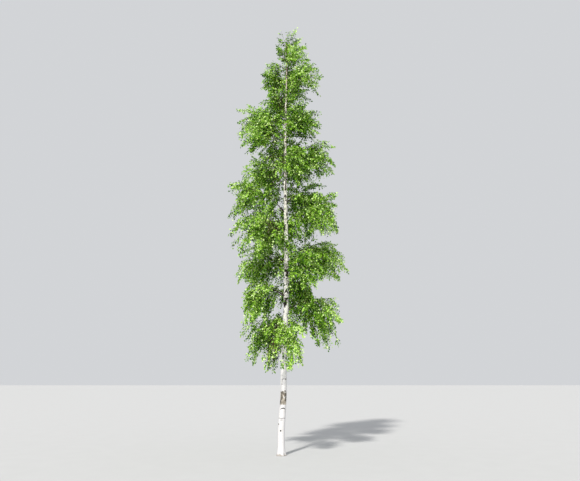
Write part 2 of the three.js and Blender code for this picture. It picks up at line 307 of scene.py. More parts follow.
# %% [markdown]
# Girth, lean and the crown's reach change smoothly with height, so each is a small function of the
# height. Tables read off by hand could give them too, but a formula has a value for every height.

# %% What changes with height
UP = np.array((0.0, 0.0, 1.0))
BREAST_HEIGHT = 1.3


def smoothstep(low, high, value):
    share = np.clip((value - low) / (high - low), 0, 1)
    return share * share * (3 - 2 * share)


def unit(vectors):
    return vectors / np.linalg.norm(vectors, axis=-1, keepdims=True)


def trunk_centre(height):
    """The middle of the trunk at a height, or at each height of an array."""
    height = np.asarray(height, float)
    leant = sum(share * smoothstep(low, high, height) for low, high, share in LEAN_STEPS)
    swept = SWEEP * np.sin(np.pi * (height - SWEEP_FROM) / SWEEP_HALF_WAVE)
    back = DEPTH_SWEEP * np.sin(2 * np.pi * height / DEPTH_WAVE)
    return np.stack((leant * (LEAN + swept), back, height), axis=-1)


def trunk_radius(height, angle):
    taper = TRUNK_RADIUS * np.maximum(0, 1 - height / TREE_HEIGHT) ** TAPER_POWER
    lobes = 1 + FLARE_LOBE_DEPTH * np.cos(FLARE_LOBES * angle)
    return taper + FLARE_OUT * np.exp(-height / FLARE_HEIGHT) * lobes


def crown_radius(height):
    if height < WIDEST_AT:
        return within((BASE_RADIUS, WIDEST), smoothstep(CROWN_BASE, WIDEST_AT, height))
    share = min(1, (height - WIDEST_AT) / (CROWN_TOP - WIDEST_AT))
    return WIDEST * (1 - share**TOP_ROUNDNESS)


breast_girth = 2 * float(trunk_radius(BREAST_HEIGHT, 0))
print("at breast height the trunk is", round(1000 * breast_girth), "mm across")

# %% [markdown]
# A limb, from the thickest bough to the finest shoot, is one arc: it sets out along a direction,
# sags under its own weight, and tapers. Each kind could be drawn by code of its own, but one class
# holds what they all share, so that a kind only needs its sizes.

# %% A limb
class Limb:
    """An arc that sets out along a direction, sags by a share of its length, and tapers."""

    def __init__(self, origin, direction, length, sag, girths, reach=0.0, up=0.0, seed=0):
        self.origin = origin
        self.direction = direction
        self.length = length
        self.sag = sag
        self.girths = girths
        self.reach = reach
        self.up = up
        self.seed = seed

    def point(self, share):
        share = np.asarray(share, float)[..., None]
        return self.origin + self.length * (self.direction * share - UP * self.sag * share * share)

    def chord_point(self, share, steps):
        """The same on straight pieces, which the solids are made of."""
        step = min(steps - 1, int(share * steps))
        ends = self.point(step / steps), self.point((step + 1) / steps)
        return within(ends, share * steps - step)

    def tangent(self, share):
        return unit(self.direction - UP * 2 * self.sag * share)

    def girth(self, share):
        return within(self.girths, share)


level_limb = Limb(np.zeros(3), np.array((1.0, 0.0, 0.0)), 1.0, 0.1, (0.02, 0.01))
print("a level limb of 1 m that sags by a tenth ends at", level_limb.point(1))

# %% [markdown]
# The boughs leave the trunk in a rising spiral, turned on by the golden angle from each to the next,
# so that none stands right above the one before. They could be placed by hand, but a rule with some
# seeded chance looks grown. A pair of numbers gives a size low in the crown and the same at its top.

# %% Where the boughs go
BOUGHS = 27
FIRST_BOUGH = 2.85
LAST_BOUGH = 9.75
HEIGHT_JITTER = 0.1
SPIRAL = 137.508
FIRST_AZIMUTH = 262
AZIMUTH_JITTER = 11
BOUGH_RISE = (26, 62)
RISE_JITTER = 6
RISE_ROUNDNESS = 0.8
BOUGH_SHARE = 0.26
BOUGH_SAG = (0.1, 0.02)
BOUGH_BASE = (0.021, 0.0085)
BOUGH_TIP = (0.012, 0.005)
REACH_VARIES = (0.88, 1.1)
BOUGH_SEED = 101
BOUGH_SEED_STEP = 17


def bough_at(i):
    """The bough at step i of the spiral, from the trunk's own middle."""
    random = seeded(BOUGH_SEED + BOUGH_SEED_STEP * i)
    up = i / (BOUGHS - 1)
    height = within((FIRST_BOUGH, LAST_BOUGH), up) + jitter(HEIGHT_JITTER, random())
    azimuth = math.radians(FIRST_AZIMUTH - SPIRAL * i + jitter(AZIMUTH_JITTER, random()))
    rise = math.radians(within(BOUGH_RISE, up**RISE_ROUNDNESS) + jitter(RISE_JITTER, random()))
    reach = crown_radius(height) * within(REACH_VARIES, random())
    level = math.cos(rise)
    direction = np.array((math.cos(azimuth) * level, math.sin(azimuth) * level, math.sin(rise)))
    girths = (within(BOUGH_BASE, up), within(BOUGH_TIP, up))
    sag = within(BOUGH_SAG, up)
    return Limb(trunk_centre(height), direction, BOUGH_SHARE * reach / level, sag, girths, reach, up)


boughs = [bough_at(i) for i in range(BOUGHS)]
lowest, highest = (round(bough.origin[2], 2) for bough in (boughs[0], boughs[-1]))
print(len(boughs), "boughs from", lowest, "to", highest, "m")

# %% [markdown]
# From each bough's tip a stem goes on through its own mass of leaves, and the trunk ends in a leader
# that does the same. A bough and its stem could be one limb, but the solids part them where the mass
# begins. Each mass also gets a middle, from which its own space is measured later.

# %% Stems
SOLID_GAP = 0.00035
STEM_SAG = (0.55, 0.12)
STEM_SHORT = 0.155
STEEPEST = 0.3
STEM_TIP = 0.0035
TIP_STRETCH = 0.2
LEADER_SHORT = 0.22
LEADER_SPREAD = 1.3
MASS_MIDDLE = 0.55
MASS_DROP = (0.14, 0)
MASS_SEED = 5000
MASS_SEED_STEP = 977


def stem_after(bough, seed):
    tangent = bough.tangent(1)
    level = max(STEEPEST, math.hypot(tangent[0], tangent[1]))
    length = ((1 - BOUGH_SHARE) * bough.reach - STEM_SHORT) / level
    origin = bough.point(1) + tangent * SOLID_GAP
    girths = (bough.girths[1], STEM_TIP)
    sag = within(STEM_SAG, bough.up)
    return Limb(origin, tangent, length, sag, girths, bough.reach, bough.up, seed)


def leader_stem(seed):
    """The stem that goes on from the trunk's top."""
    along = unit(trunk_centre(TRUNK_TOP) - trunk_centre(TRUNK_TOP - TIP_STRETCH))
    origin = trunk_centre(TRUNK_TOP) + along * SOLID_GAP
    length = TREE_HEIGHT - TRUNK_TOP - LEADER_SHORT
    girths = (float(trunk_radius(TRUNK_TOP, 0)), STEM_TIP)
    return Limb(origin, along, length, 0, girths, LEADER_SPREAD * crown_radius(TRUNK_TOP), 1, seed)


stems = [stem_after(bough, MASS_SEED + MASS_SEED_STEP * i) for i, bough in enumerate(boughs)]
stems.append(leader_stem(MASS_SEED + MASS_SEED_STEP * BOUGHS))
middles = np.array([stem.point(MASS_MIDDLE) - UP * within(MASS_DROP, stem.up) for stem in stems])
print(len(stems), "stems, the longest", round(max(stem.length for stem in stems), 2), "m")

# %% [markdown]
# Side shoots leave a stem, turned on by the golden angle from each to the next, as on a real twig.
# They hang low in the crown and rise at its top. They could be drawn one by one, but the seeded rule
# of the solids gives them all, three for each one that the solids show.

# %% Shoots
STEM_STEPS = 3
SHOOT_STRIDE = 3
SHOOT_SPACING = 0.125
FEWEST_SHOOTS = 5
SHOOTS_ALONG = (0.06, 0.97)
PLACE_VARIES = 0.6
SHOOT_OPENING = (62, 36)
OPENING_JITTER = 8
ROLL_JITTER = 40
SHOOT_LENGTH = (0.6, 0.36)
REACH_ADDED = 0.12
LENGTH_VARIES = (0.78, 1.15)
SHOOT_LIFT = (-0.22, 0.12)
SHOOT_SAG = (0.4, 0.1)
SAG_VARIES = (0.7, 1.3)
SHOOT_GIRTH = 0.62
SHOOT_TIP = 0.0025
SHOOT_SEED_STEP = 31
SPRAY_SEED_ADDED = 7
ALMOST_UPRIGHT = 0.95


def branched(axis, opening, roll):
    """A direction turned away from an axis by an opening angle, to the side that roll names."""
    level = np.array((1.0, 0, 0)) if abs(axis[2]) > ALMOST_UPRIGHT else UP
    side = unit(np.cross(axis, level))
    over = np.cross(side, axis)
    away = side * math.cos(roll) + over * math.sin(roll)
    return unit(axis * math.cos(opening) + away * math.sin(opening))


def shoots_of(stem):
    shoots = []
    count = SHOOT_STRIDE * max(FEWEST_SHOOTS, math.floor(stem.length / SHOOT_SPACING + 0.5))
    for k in range(count):
        seed = stem.seed + SHOOT_SEED_STEP * k
        random = seeded(seed)
        share = within(SHOOTS_ALONG, (k + PLACE_VARIES * random()) / count)
        roll = math.radians(SPIRAL * k + ROLL_JITTER * random())
        opening = math.radians(within(SHOOT_OPENING, share) + jitter(OPENING_JITTER, random()))
        turned = branched(stem.tangent(share), opening, roll)
        direction = unit(turned + UP * within(SHOOT_LIFT, stem.up))
        spread = within(SHOOT_LENGTH, share) * (stem.reach + REACH_ADDED)
        length = spread * within(LENGTH_VARIES, random())
        sag = within(SHOOT_SAG, stem.up) * within(SAG_VARIES, random())
        girths = (SHOOT_GIRTH * stem.girth(share), SHOOT_TIP)
        origin = stem.chord_point(share, STEM_STEPS)
        shoots.append(Limb(origin, direction, length, sag, girths, 0, stem.up, seed + SPRAY_SEED_ADDED))
    return shoots


print("the lowest stem sends out", len(shoots_of(stems[0])), "shoots at first")

# %% [markdown]
# The finest twigs of a birch come in flat sprays: one thin axis with short side twigs and leaves to
# its left and right. They could be scattered over a mass at random, but then they would hang in the
# air. So each one starts on a stem or a shoot, and the rule gives its direction, roll and size.

# %% Sprays
STEM_BARE = 0.12
SPRAY_LENGTH = 0.44
SPRAY_WIDTH = 0.25
SPRAY_THICKNESS = 0.01
SPRAY_WIDEST = 0.45
SPRAY_STEP = 0.15
LAST_SPRAY = 0.9
SPRAY_TURN = (34, 62)
LAST_TURN = 9
SPRAY_HANG = (-0.75, -0.12)
HANG_VARIES = (0.5, 1.2)
SPRAY_ROLL = (-0.9, 0.9)
SPRAY_VARIES = (0.8, 1.12)


class Spray:
    """A flat fan of fine twigs: where it is rooted, its direction, its flat side and its size."""

    def __init__(self, origin, direction, roll, scale, mass, up):
        self.origin = origin
        self.direction = direction
        self.flat = branched(direction, math.pi / 2, roll)
        self.above = np.cross(self.flat, direction)
        self.scale = scale
        self.mass = mass
        self.up = up

    def corners(self):
        length = SPRAY_LENGTH * self.scale
        half = SPRAY_WIDTH * self.scale / 2
        middle = self.origin + self.direction * SPRAY_WIDEST * length - self.above * SPRAY_THICKNESS
        tip = self.origin + self.direction * length
        return np.array((self.origin, tip, middle + self.flat * half, middle - self.flat * half))


def turned_level(vector, angle):
    """A direction turned about the upright."""
    x, y, z = vector
    cos, sin = math.cos(angle), math.sin(angle)
    return np.array((x * cos - y * sin, x * sin + y * cos, z))


def sprays_of(limb, steps, bare, mass):
    random = seeded(limb.seed)
    sprays = []
    count = max(1, int((1 - bare) * limb.length / SPRAY_STEP))
    for n in range(count + 1):
        share = within((bare, LAST_SPRAY), n / count)
        turn = math.radians(LAST_TURN if n == count else within(SPRAY_TURN, random()))
        direction = turned_level(limb.tangent(share), turn if n % 2 else -turn)
        hang = within(SPRAY_HANG, limb.up) * within(HANG_VARIES, random())
        roll = within(SPRAY_ROLL, random())
        scale = within(SPRAY_VARIES, random())
        origin = limb.chord_point(share, steps)
        sprays.append(Spray(origin, unit(direction + UP * hang), roll, scale, mass, limb.up))
    return sprays


first_sprays = sprays_of(stems[0], STEM_STEPS, STEM_BARE, 0)
print("the lowest stem bears", len(first_sprays), "sprays of its own at first")

# %% [markdown]
# A shoot or a spray is kept only if it stays in its own mass's space, so that the gaps between the
# masses stay open, and if it clears the trunk and the boughs. Volumes cut out of one another could
# do that too, but gaps between straight pieces are quickly worked out for thousands at once.

# %% What keeps each mass to its own space
MASS_NAMES = [f"foliage_{i + 1:02d}" for i in range(BOUGHS)] + ["foliage_top"]
LIMB_CLEARANCE = 0.006
CELL_CLEARANCE = 0.003
REACH_MARGIN = np.array((0.0, 0.0, 0.14))
LOWEST_LEAVES = 1.83
TRUNK_PIECES = 60
BOUGH_PIECES = 6
PARALLEL = 1e-15


def in_own_space(mass, points):
    """Which rows of points lie nearer to this mass's middle than to that of any other mass."""
    distances = np.linalg.norm(points[:, :, None] - middles, axis=-1)
    mine = distances[:, :, mass].copy()
    distances[:, :, mass] = np.inf
    return (distances.min(axis=-1) > mine + CELL_CLEARANCE).all(axis=-1)


def in_reach(mass, points):
    """Which rows of points lie in the reach of the mass's own solid, or a little over or under it."""
    low, high = (np.array(corner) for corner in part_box(MASS_NAMES[mass]))
    inside = (points > low - REACH_MARGIN) & (points < high + REACH_MARGIN)
    return inside.all(axis=(1, 2)) & (points[:, :, 2] > LOWEST_LEAVES).all(axis=1)


def piece_gap(a, b, c, d):
    """The gaps between straight pieces a to b, one a row, and straight pieces c to d, one a column."""
    a, u = a[:, None], (b - a)[:, None]
    v = d - c
    w = a - c
    uu = (u * u).sum(-1)
    vv = (v * v).sum(-1)
    uv = (u * v).sum(-1)
    uw = (u * w).sum(-1)
    vw = (v * w).sum(-1)
    spread = uu * vv - uv * uv
    nearest = (uv * vw - vv * uw) / np.maximum(spread, PARALLEL)
    s = np.clip(np.where(spread > PARALLEL, nearest, 0), 0, 1)
    t = np.clip((uv * s + vw) / vv, 0, 1)
    s = np.clip((uv * t - uw) / uu, 0, 1)
    return np.linalg.norm(w + u * s[..., None] - v * t[..., None], axis=-1)


trunk_marks = np.linspace(0, TRUNK_TOP, TRUNK_PIECES + 1)
trunk_line = trunk_centre(trunk_marks)
bough_lines = [bough.point(np.linspace(0, 1, BOUGH_PIECES + 1)) for bough in boughs]
limb_starts = np.concatenate([trunk_line[:-1], *(line[:-1] for line in bough_lines)])
limb_ends = np.concatenate([trunk_line[1:], *(line[1:] for line in bough_lines)])
bough_shares = np.arange(BOUGH_PIECES) / BOUGH_PIECES
limb_girths = np.concatenate(
    [trunk_radius(trunk_marks[:-1], 0), *(bough.girth(bough_shares) for bough in boughs)]
)


def clear_of_limbs(starts, ends, girth):
    gaps = piece_gap(starts, ends, limb_starts, limb_ends)
    return (gaps > limb_girths + girth + LIMB_CLEARANCE).all(axis=-1)


print("twigs have to clear", len(limb_starts), "straight pieces of the trunk and the boughs")

# %% [markdown]
# Now each mass grows: first the shoots of its stem, and then the sprays of the stem and of the shoots
# that were kept. What doesn't fit could be dropped, as in the solids, but bare gaps would be left
# where two masses meet. So it is made smaller a few times and tried again, and they meet softly.

# %% Shoots and sprays as large as fit
SHOOT_BARE = 0.3
SHOOT_STEPS = 2
TRIES = 4
SMALLER = 0.78


def points_of(shoots, shares=(0, 0.5, 1)):
    """A row of points for each shoot, at these shares of its length."""
    return np.array([shoot.point(shares) for shoot in shoots])


def corners_of(sprays):
    return np.array([spray.corners() for spray in sprays])


def clear_along(corners):
    return clear_of_limbs(corners[:, 0], corners[:, 1], SPRAY_THICKNESS)


def clear_across(corners):
    return clear_of_limbs(corners[:, 2], corners[:, 3], SPRAY_THICKNESS)


def shoots_fit(mass, shoots):
    points = points_of(shoots)
    bases = np.array([shoot.girths[0] for shoot in shoots])[:, None]
    foot_clear = clear_of_limbs(points[:, 0], points[:, 1], bases)
    tip_clear = clear_of_limbs(points[:, 1], points[:, 2], SHOOT_TIP)
    return in_own_space(mass, points) & in_reach(mass, points) & foot_clear & tip_clear


def sprays_fit(mass, sprays):
    corners = corners_of(sprays)
    own = in_own_space(mass, corners) & in_reach(mass, corners)
    return own & clear_along(corners) & clear_across(corners)


def as_large_as_fits(grown, fit, mass, size):
    """What fits of all that has grown. The rest is made smaller, a few times, and tried again."""
    kept = []
    for _ in range(TRIES):
        if not grown:
            break
        fitting = fit(mass, grown)
        kept.extend(one for one, fits in zip(grown, fitting) if fits)
        grown = [one for one, fits in zip(grown, fitting) if not fits]
        for one in grown:
            setattr(one, size, getattr(one, size) * SMALLER)
    return kept


def shoot_sprays(shoots, bare, mass):
    return [spray for shoot in shoots for spray in sprays_of(shoot, SHOOT_STEPS, bare, mass)]


mass_shoots = []
mass_sprays = []
for mass, stem in enumerate(stems):
    shoots = as_large_as_fits(shoots_of(stem), shoots_fit, mass, "length")
    grown = sprays_of(stem, STEM_STEPS, STEM_BARE, mass) + shoot_sprays(shoots, SHOOT_BARE, mass)
    mass_shoots.append(shoots)
    mass_sprays.append(as_large_as_fits(grown, sprays_fit, mass, "scale"))
print(sum(map(len, mass_shoots)), "shoots and", sum(map(len, mass_sprays)), "sprays")

# %% [markdown]
# Two kinds of weaker shoots are too fine for the solids. Some hang from each stem, most of all low in
# the crown, and others stand on the boughs between the trunk and the mass. They could be left out,
# but they close the crown as it is closed on the real tree. One class grows both.

# %% A kind of weak shoot
WEAK_GIRTHS = (0.0045, 0.002)
WEAK_SAG = (0.35, 0.1)
WEAK_BARE = 0.2
WEAK_SEED_STEP = 53


class WeakKind:
    """A kind of weak shoot: how many, where along a limb, their angle, lift, length and first seed."""

    def __init__(self, count, along, opening, lift, lengths, seed):
        self.count = count
        self.along = along
        self.opening = opening
        self.lift = lift
        self.lengths = lengths
        self.seed = seed

    def shoot(self, limb, k, seed):
        random = seeded(seed)
        share = within(self.along, (k + random()) / self.count)
        roll = math.radians(SPIRAL * k + ROLL_JITTER * random())
        turned = branched(limb.tangent(share), math.radians(within(self.opening, random())), roll)
        direction = unit(turned + UP * within(self.lift, limb.up))
        length = within(self.lengths, random())
        sag = within(WEAK_SAG, limb.up)
        spray_seed = seed + SPRAY_SEED_ADDED
        return Limb(limb.point(share), direction, length, sag, WEAK_GIRTHS, 0, limb.up, spray_seed)

    def grow(self, limb, mass, fits, sprays_too):
        """Adds the kind's shoots on a limb, and their sprays, to those of a mass, if they fit."""
        seed = self.seed + MASS_SEED_STEP * mass
        shoots = [self.shoot(limb, k, seed + WEAK_SEED_STEP * k) for k in range(self.count)]
        shoots = as_large_as_fits(shoots, fits, mass, "length")
        grown = shoot_sprays(shoots, WEAK_BARE, mass)
        mass_shoots[mass].extend(shoots)
        mass_sprays[mass].extend(as_large_as_fits(grown, sprays_too, mass, "scale"))


hanging = WeakKind(
    count=7, along=(0.05, 0.9), opening=(55, 95), lift=(-1.3, -0.15), lengths=(0.32, 0.56), seed=40000
)
inner = WeakKind(
    count=5, along=(0.45, 0.98), opening=(45, 85), lift=(-0.35, 0.2), lengths=(0.24, 0.42), seed=70000
)
print(hanging.count, "hanging shoots for each stem, and", inner.count, "inner ones for each bough")

# %% [markdown]
# Strict tests would leave the very gaps that these shoots are there to close, so theirs are looser.
# The hanging ones may come down between the twigs of the mass below, as long as they stay in their
# own solid's reach. The inner ones only have to clear the limbs and keep above the crown's lower
# edge.

# %% Hanging and inner shoots
INNER_CLEAR_FROM = 0.3


def hanging_shoots_fit(mass, shoots):
    points = points_of(shoots)
    return in_reach(mass, points) & clear_of_limbs(points[:, 1], points[:, 2], SHOOT_TIP)


def hanging_sprays_fit(mass, sprays):
    corners = corners_of(sprays)
    return in_reach(mass, corners) & clear_along(corners)


def inner_shoots_fit(mass, shoots):
    points = points_of(shoots, (INNER_CLEAR_FROM, 1))
    return clear_of_limbs(points[:, 0], points[:, 1], SHOOT_TIP)


def inner_sprays_fit(mass, sprays):
    corners = corners_of(sprays)
    return clear_across(corners) & (corners[:, :, 2] > LOWEST_LEAVES).all(axis=1)


for mass, stem in enumerate(stems):
    hanging.grow(stem, mass, hanging_shoots_fit, hanging_sprays_fit)
for mass, bough in enumerate(boughs):
    inner.grow(bough, mass, inner_shoots_fit, inner_sprays_fit)
print("with the weak ones", sum(map(len, mass_shoots)), "shoots")
print("and", sum(map(len, mass_sprays)), "sprays")

# %% [markdown]
# The trunk and the boughs are long tapering tubes. They could be lathed, but they lean and bend, so
# they are drawn out of a circle ring by ring, as one would by hand, and each new ring is moved to the
# limb's line and shrunk to its girth. More helpers subdivide a tube, close its ends, read its points
# for the relief to be worked out, and write them back.

# %% A helper that draws a tube out of a circle
SMOOTH_UP_TO = 50


def drawn_tube(name, centres, radii, sides, turn=(0, 0, 0)):
    """A tube with open ends, extruded from a circle through the given centres."""
    bpy.ops.object.select_all(action="DESELECT")
    bpy.ops.mesh.primitive_circle_add(
        vertices=sides, radius=radii[0], location=tuple(centres[0]), rotation=turn
    )
    tube = bpy.context.object
    tube.name = name
    bpy.ops.object.transform_apply(location=True, rotation=True, scale=True)
    bpy.ops.object.mode_set(mode="EDIT")
    bpy.ops.mesh.select_all(action="SELECT")
    for k in range(1, len(centres)):
        step = tuple(centres[k] - centres[k - 1])
        growth = radii[k] / radii[k - 1]
        bpy.ops.mesh.extrude_edges_move(TRANSFORM_OT_translate={"value": step})
        bpy.ops.transform.resize(value=(growth,) * 3, center_override=tuple(centres[k]))
    bpy.ops.object.mode_set(mode="OBJECT")
    return tube


def subdivide_smoothly(piece, levels):
    modifier = piece.modifiers.new("smooth", "SUBSURF")
    modifier.levels = levels
    modifier.render_levels = levels
    bpy.ops.object.modifier_apply(modifier=modifier.name)


def close_ends(piece):
    """Fills the open rings at both ends, turns all faces outward and shades them smooth."""
    bpy.ops.object.mode_set(mode="EDIT")
    bpy.ops.mesh.select_mode(type="EDGE")
    bpy.ops.mesh.select_all(action="DESELECT")
    bpy.ops.mesh.select_non_manifold(extend=False)
    bpy.ops.mesh.edge_face_add()
    bpy.ops.mesh.select_all(action="SELECT")
    bpy.ops.mesh.normals_make_consistent(inside=False)
    bpy.ops.object.mode_set(mode="OBJECT")
    bpy.ops.object.shade_smooth_by_angle(angle=math.radians(SMOOTH_UP_TO))


def read_points(piece):
    points = np.empty(3 * len(piece.data.vertices))
    piece.data.vertices.foreach_get("co", points)
    return points.reshape(-1, 3)


def write_points(piece, points):
    piece.data.vertices.foreach_set("co", points.ravel())
    piece.data.update()


print("tubes are shaded smooth where they turn by less than", SMOOTH_UP_TO, "degrees")

# %% [markdown]
# The trunk's rings lie closer together low down, where one stands near. As many rings as the bark's
# relief needs could be extruded, but fewer are quicker, and subdivision makes the surface fine
# enough. The lobes of the foot come with the relief, so each ring has its mean girth here.

# %% The trunk's tube
TRUNK_SIDES = 22
TRUNK_RINGS = 160
TRUNK_FINENESS = 2
RING_CROWDING = 1.35

ring_heights = TRUNK_TOP * np.linspace(0, 1, TRUNK_RINGS + 1) ** RING_CROWDING
ring_radii = trunk_radius(ring_heights, math.pi / 2)
trunk = drawn_tube("trunk_bark", trunk_centre(ring_heights), ring_radii, TRUNK_SIDES)
subdivide_smoothly(trunk, TRUNK_FINENESS)
print(trunk.name, "has", len(trunk.data.vertices), "points")

# %% [markdown]
# Birch bark is a record of what grew there. Over each lost branch a dark arched crease stays, like an
# eyebrow, and over each living bough sits a pointed one. They could be painted in the finish alone,
# but a crease also catches the light. So each is listed here by its place and its size. Later the
# mesh is pushed in along it, and the finish darkens it.

# %% The marks of the bark
FRONT = -90
ROUND = 2
POINTED = 1


class Mark:
    """A dark line across the bark: its middle, half its width, its arch, thickness and strength."""

    def __init__(self, height, angle, half_width, arch, thickness, shape=ROUND, strength=1.0):
        self.height = height
        self.angle = math.radians(angle)
        self.half_width = half_width
        self.arch = arch
        self.thickness = thickness
        self.shape = shape
        self.strength = strength


def seen(height, across, half_width, arch, thickness, shape=ROUND, strength=1.0):
    """A mark as seen from the front: across is -1 at the trunk's left edge and 1 at its right."""
    angle = FRONT + math.degrees(math.asin(across))
    return Mark(height, angle, half_width, arch, thickness, shape, strength)


marks = [
    seen(0.535, -0.2, 0.019, 0, 0.018),
    seen(0.68, -0.89, 0.026, 0, 0.016),
    seen(0.81, 0, 0.26, 0.004, 0.006, ROUND, 0.7),
    seen(0.77, -0.15, 0.030, 0.006, 0.020, ROUND, 0.35),
    seen(1.03, 0.1, 0.072, 0.034, 0.012),
    seen(1.57, -0.5, 0.024, 0.008, 0.011, ROUND, 0.5),
    seen(1.65, -0.45, 0.009, 0, 0.030, ROUND, 0.35),
    seen(1.69, 0.15, 0.064, 0.010, 0.009, ROUND, 0.5),
    seen(1.685, -0.28, 0.014, 0, 0.013, ROUND, 0.7),
    seen(1.68, 0.72, 0.022, 0, 0.014),
    seen(2.26, -0.2, 0.05, 0.008, 0.004),
    seen(2.62, 0.35, 0.04, 0.01, 0.006),
    seen(3.14, 0.85, 0.020, 0.004, 0.022),
    seen(3.27, -0.85, 0.026, 0.004, 0.020),
    seen(3.475, -0.45, 0.050, 0, 0.090),
    seen(3.585, 0.10, 0.058, -0.026, 0.034, POINTED),
    seen(3.80, 0, 0.056, 0.075, 0.040, POINTED),
    seen(4.08, 0.15, 0.018, 0, 0.016),
    seen(4.18, 0.45, 0.056, 0.004, 0.044),
    seen(4.30, -0.3, 0.042, 0.002, 0.040),
    seen(4.63, -0.3, 0.014, 0, 0.012),
    seen(4.93, -0.1, 0.022, 0.004, 0.012),
    seen(5.40, -0.75, 0.032, 0, 0.090),
    seen(5.66, 0.7, 0.022, 0, 0.030),
    seen(6.16, 0.25, 0.040, 0.055, 0.022, POINTED),
    seen(6.27, -0.5, 0.036, 0.050, 0.020, POINTED),
    seen(6.42, 0, 0.018, 0.003, 0.016),
    seen(6.72, 0.55, 0.024, 0, 0.024),
    seen(6.93, -0.5, 0.022, 0.004, 0.016),
    seen(7.20, -0.8, 0.024, 0, 0.085),
    seen(7.22, 0.85, 0.022, 0, 0.100),
    seen(7.44, 0, 0.034, 0.010, 0.018),
    seen(7.60, -0.8, 0.022, 0, 0.060),
    seen(7.78, 0.5, 0.022, 0.010, 0.020),
    seen(7.90, -0.85, 0.020, 0, 0.060),
    seen(8.20, 0.2, 0.020, 0.008, 0.014),
    seen(8.52, -0.6, 0.018, 0, 0.040),
    seen(8.86, 0.5, 0.018, 0.006, 0.022),
]
print(len(marks), "marks are seen from the front")

# %% [markdown]
# Over every bough that leaves the trunk sits a pointed mark, so its place follows from the bough. The
# rest of the bark has small marks at any height and side. They could be listed too, but seeded chance
# does as well, as long as it leaves the lower front alone, where every mark is given above.

# %% Marks that follow the boughs, and the rest by chance
CHEVRON_RISE = 1.7
CHEVRON_SPREAD = 2.0
CHEVRON_DROP = 2.6
CHEVRON_THICKNESS = (0.008, 0.005)
CHANCE_MARKS = 74
CHANCE_HEIGHTS = (0.35, 9.9)
CHANCE_CROWDING = 0.8
CHANCE_WIDTH = (0.012, 0.06)
CHANCE_ARCH = (-0.004, 0.014)
CHANCE_THICKNESS = (0.0025, 0.007)
CHANCE_GROWS = (1, 2.2)
CHANCE_GROWS_FROM = 2.5
CHANCE_GROWN_AT = 5
WIDEST_MARK = 1.2
BARE_FRONT = 75
BARE_FRONT_TOP = 3.9
MARK_SEED = 31


def trunk_leaving(bough):
    """The height at which a bough comes out of the trunk, and its angle round it."""
    angle = math.atan2(bough.direction[1], bough.direction[0])
    level = math.hypot(bough.direction[0], bough.direction[1])
    out = float(trunk_radius(bough.origin[2], angle))
    return bough.origin[2] + out * bough.direction[2] / level, angle


for bough in boughs:
    height, angle = trunk_leaving(bough)
    girth = bough.girths[0]
    half_width, arch = CHEVRON_SPREAD * girth, CHEVRON_DROP * girth
    thickness = within(CHEVRON_THICKNESS, bough.up)
    height += CHEVRON_RISE * girth
    marks.append(Mark(height, math.degrees(angle), half_width, arch, thickness, POINTED))

random = seeded(MARK_SEED)
for i in range(CHANCE_MARKS):
    height = within(CHANCE_HEIGHTS, ((i + random()) / CHANCE_MARKS) ** CHANCE_CROWDING)
    angle = 360 * random() - 180
    width = within(CHANCE_WIDTH, random())
    arch = within(CHANCE_ARCH, random())
    grown = within(CHANCE_GROWS, smoothstep(CHANCE_GROWS_FROM, CHANCE_GROWN_AT, height))
    thickness = within(CHANCE_THICKNESS, random() ** 2) * grown
    if height < BARE_FRONT_TOP and abs(angle - FRONT) < BARE_FRONT:
        continue
    width = min(width, WIDEST_MARK * float(trunk_radius(height, 0)))
    marks.append(Mark(height, angle, width, arch, thickness))
print(len(marks), "marks on the bark")

# %% [markdown]
# Each point of the trunk now gets two values: how far it lies over or under the line of the nearest
# mark, and how much that mark counts there. The marks could be cut into the mesh as edges, but values
# at the points serve both the relief and the finish.

# %% How near each point is to a mark
MARK_REACH = 4.0
MARK_FADES_FROM = 0.6
MARK_THINNEST = 0.12
MARK_END = (0.85, 1.1)
FAR_FROM_MARKS = 9.0


def turn_between(angles, angle):
    """How far round each angle is from one angle, from minus to plus half a turn."""
    return (angles - angle + math.pi) % (2 * math.pi) - math.pi


trunk_points = read_points(trunk)
heights = np.clip(trunk_points[:, 2], 0, TRUNK_TOP)
aside = trunk_points[:, :2] - trunk_centre(heights)[:, :2]
angles = np.arctan2(aside[:, 1], aside[:, 0])
girths = trunk_radius(heights, angles)

mark_across = np.full(len(heights), FAR_FROM_MARKS)
mark_near = np.zeros(len(heights))
for mark in marks:
    share = np.abs(turn_between(angles, mark.angle)) * girths / mark.half_width
    line = mark.height - mark.arch * share**mark.shape
    thickness = mark.thickness * np.sqrt(np.clip(1 - share**2, MARK_THINNEST, 1))
    across = (heights - line) / thickness
    nearer = (share < MARK_END[1]) & (np.abs(across) < np.abs(mark_across))
    mark_across[nearer] = across[nearer]
    ends = mark.strength * (1 - smoothstep(*MARK_END, share))
    edges = 1 - smoothstep(MARK_FADES_FROM * MARK_REACH, MARK_REACH, np.abs(across))
    mark_near[nearer] = (ends * edges)[nearer]
for name, values in (("mark_across", mark_across), ("mark_near", mark_near)):
    attribute = trunk.data.attributes.new(name, "FLOAT", "POINT")
    attribute.data.foreach_set("value", values.astype(np.float32))
print(int((mark_near > 0).sum()), "points of the trunk lie near a mark")

# %% [markdown]
# Now the trunk's points are moved to their places. A painted height map could move them too, but its
# pixels would show from near by. Each point keeps its height and its side of the trunk, and only its
# distance from the middle is set: the taper and the lobes of the foot, slow lumps, fine wrinkles
# across the stem, a swelling round each bough, the marks, and the stretch at breast height where the
# white bark has been stripped off, which lies a little deeper.

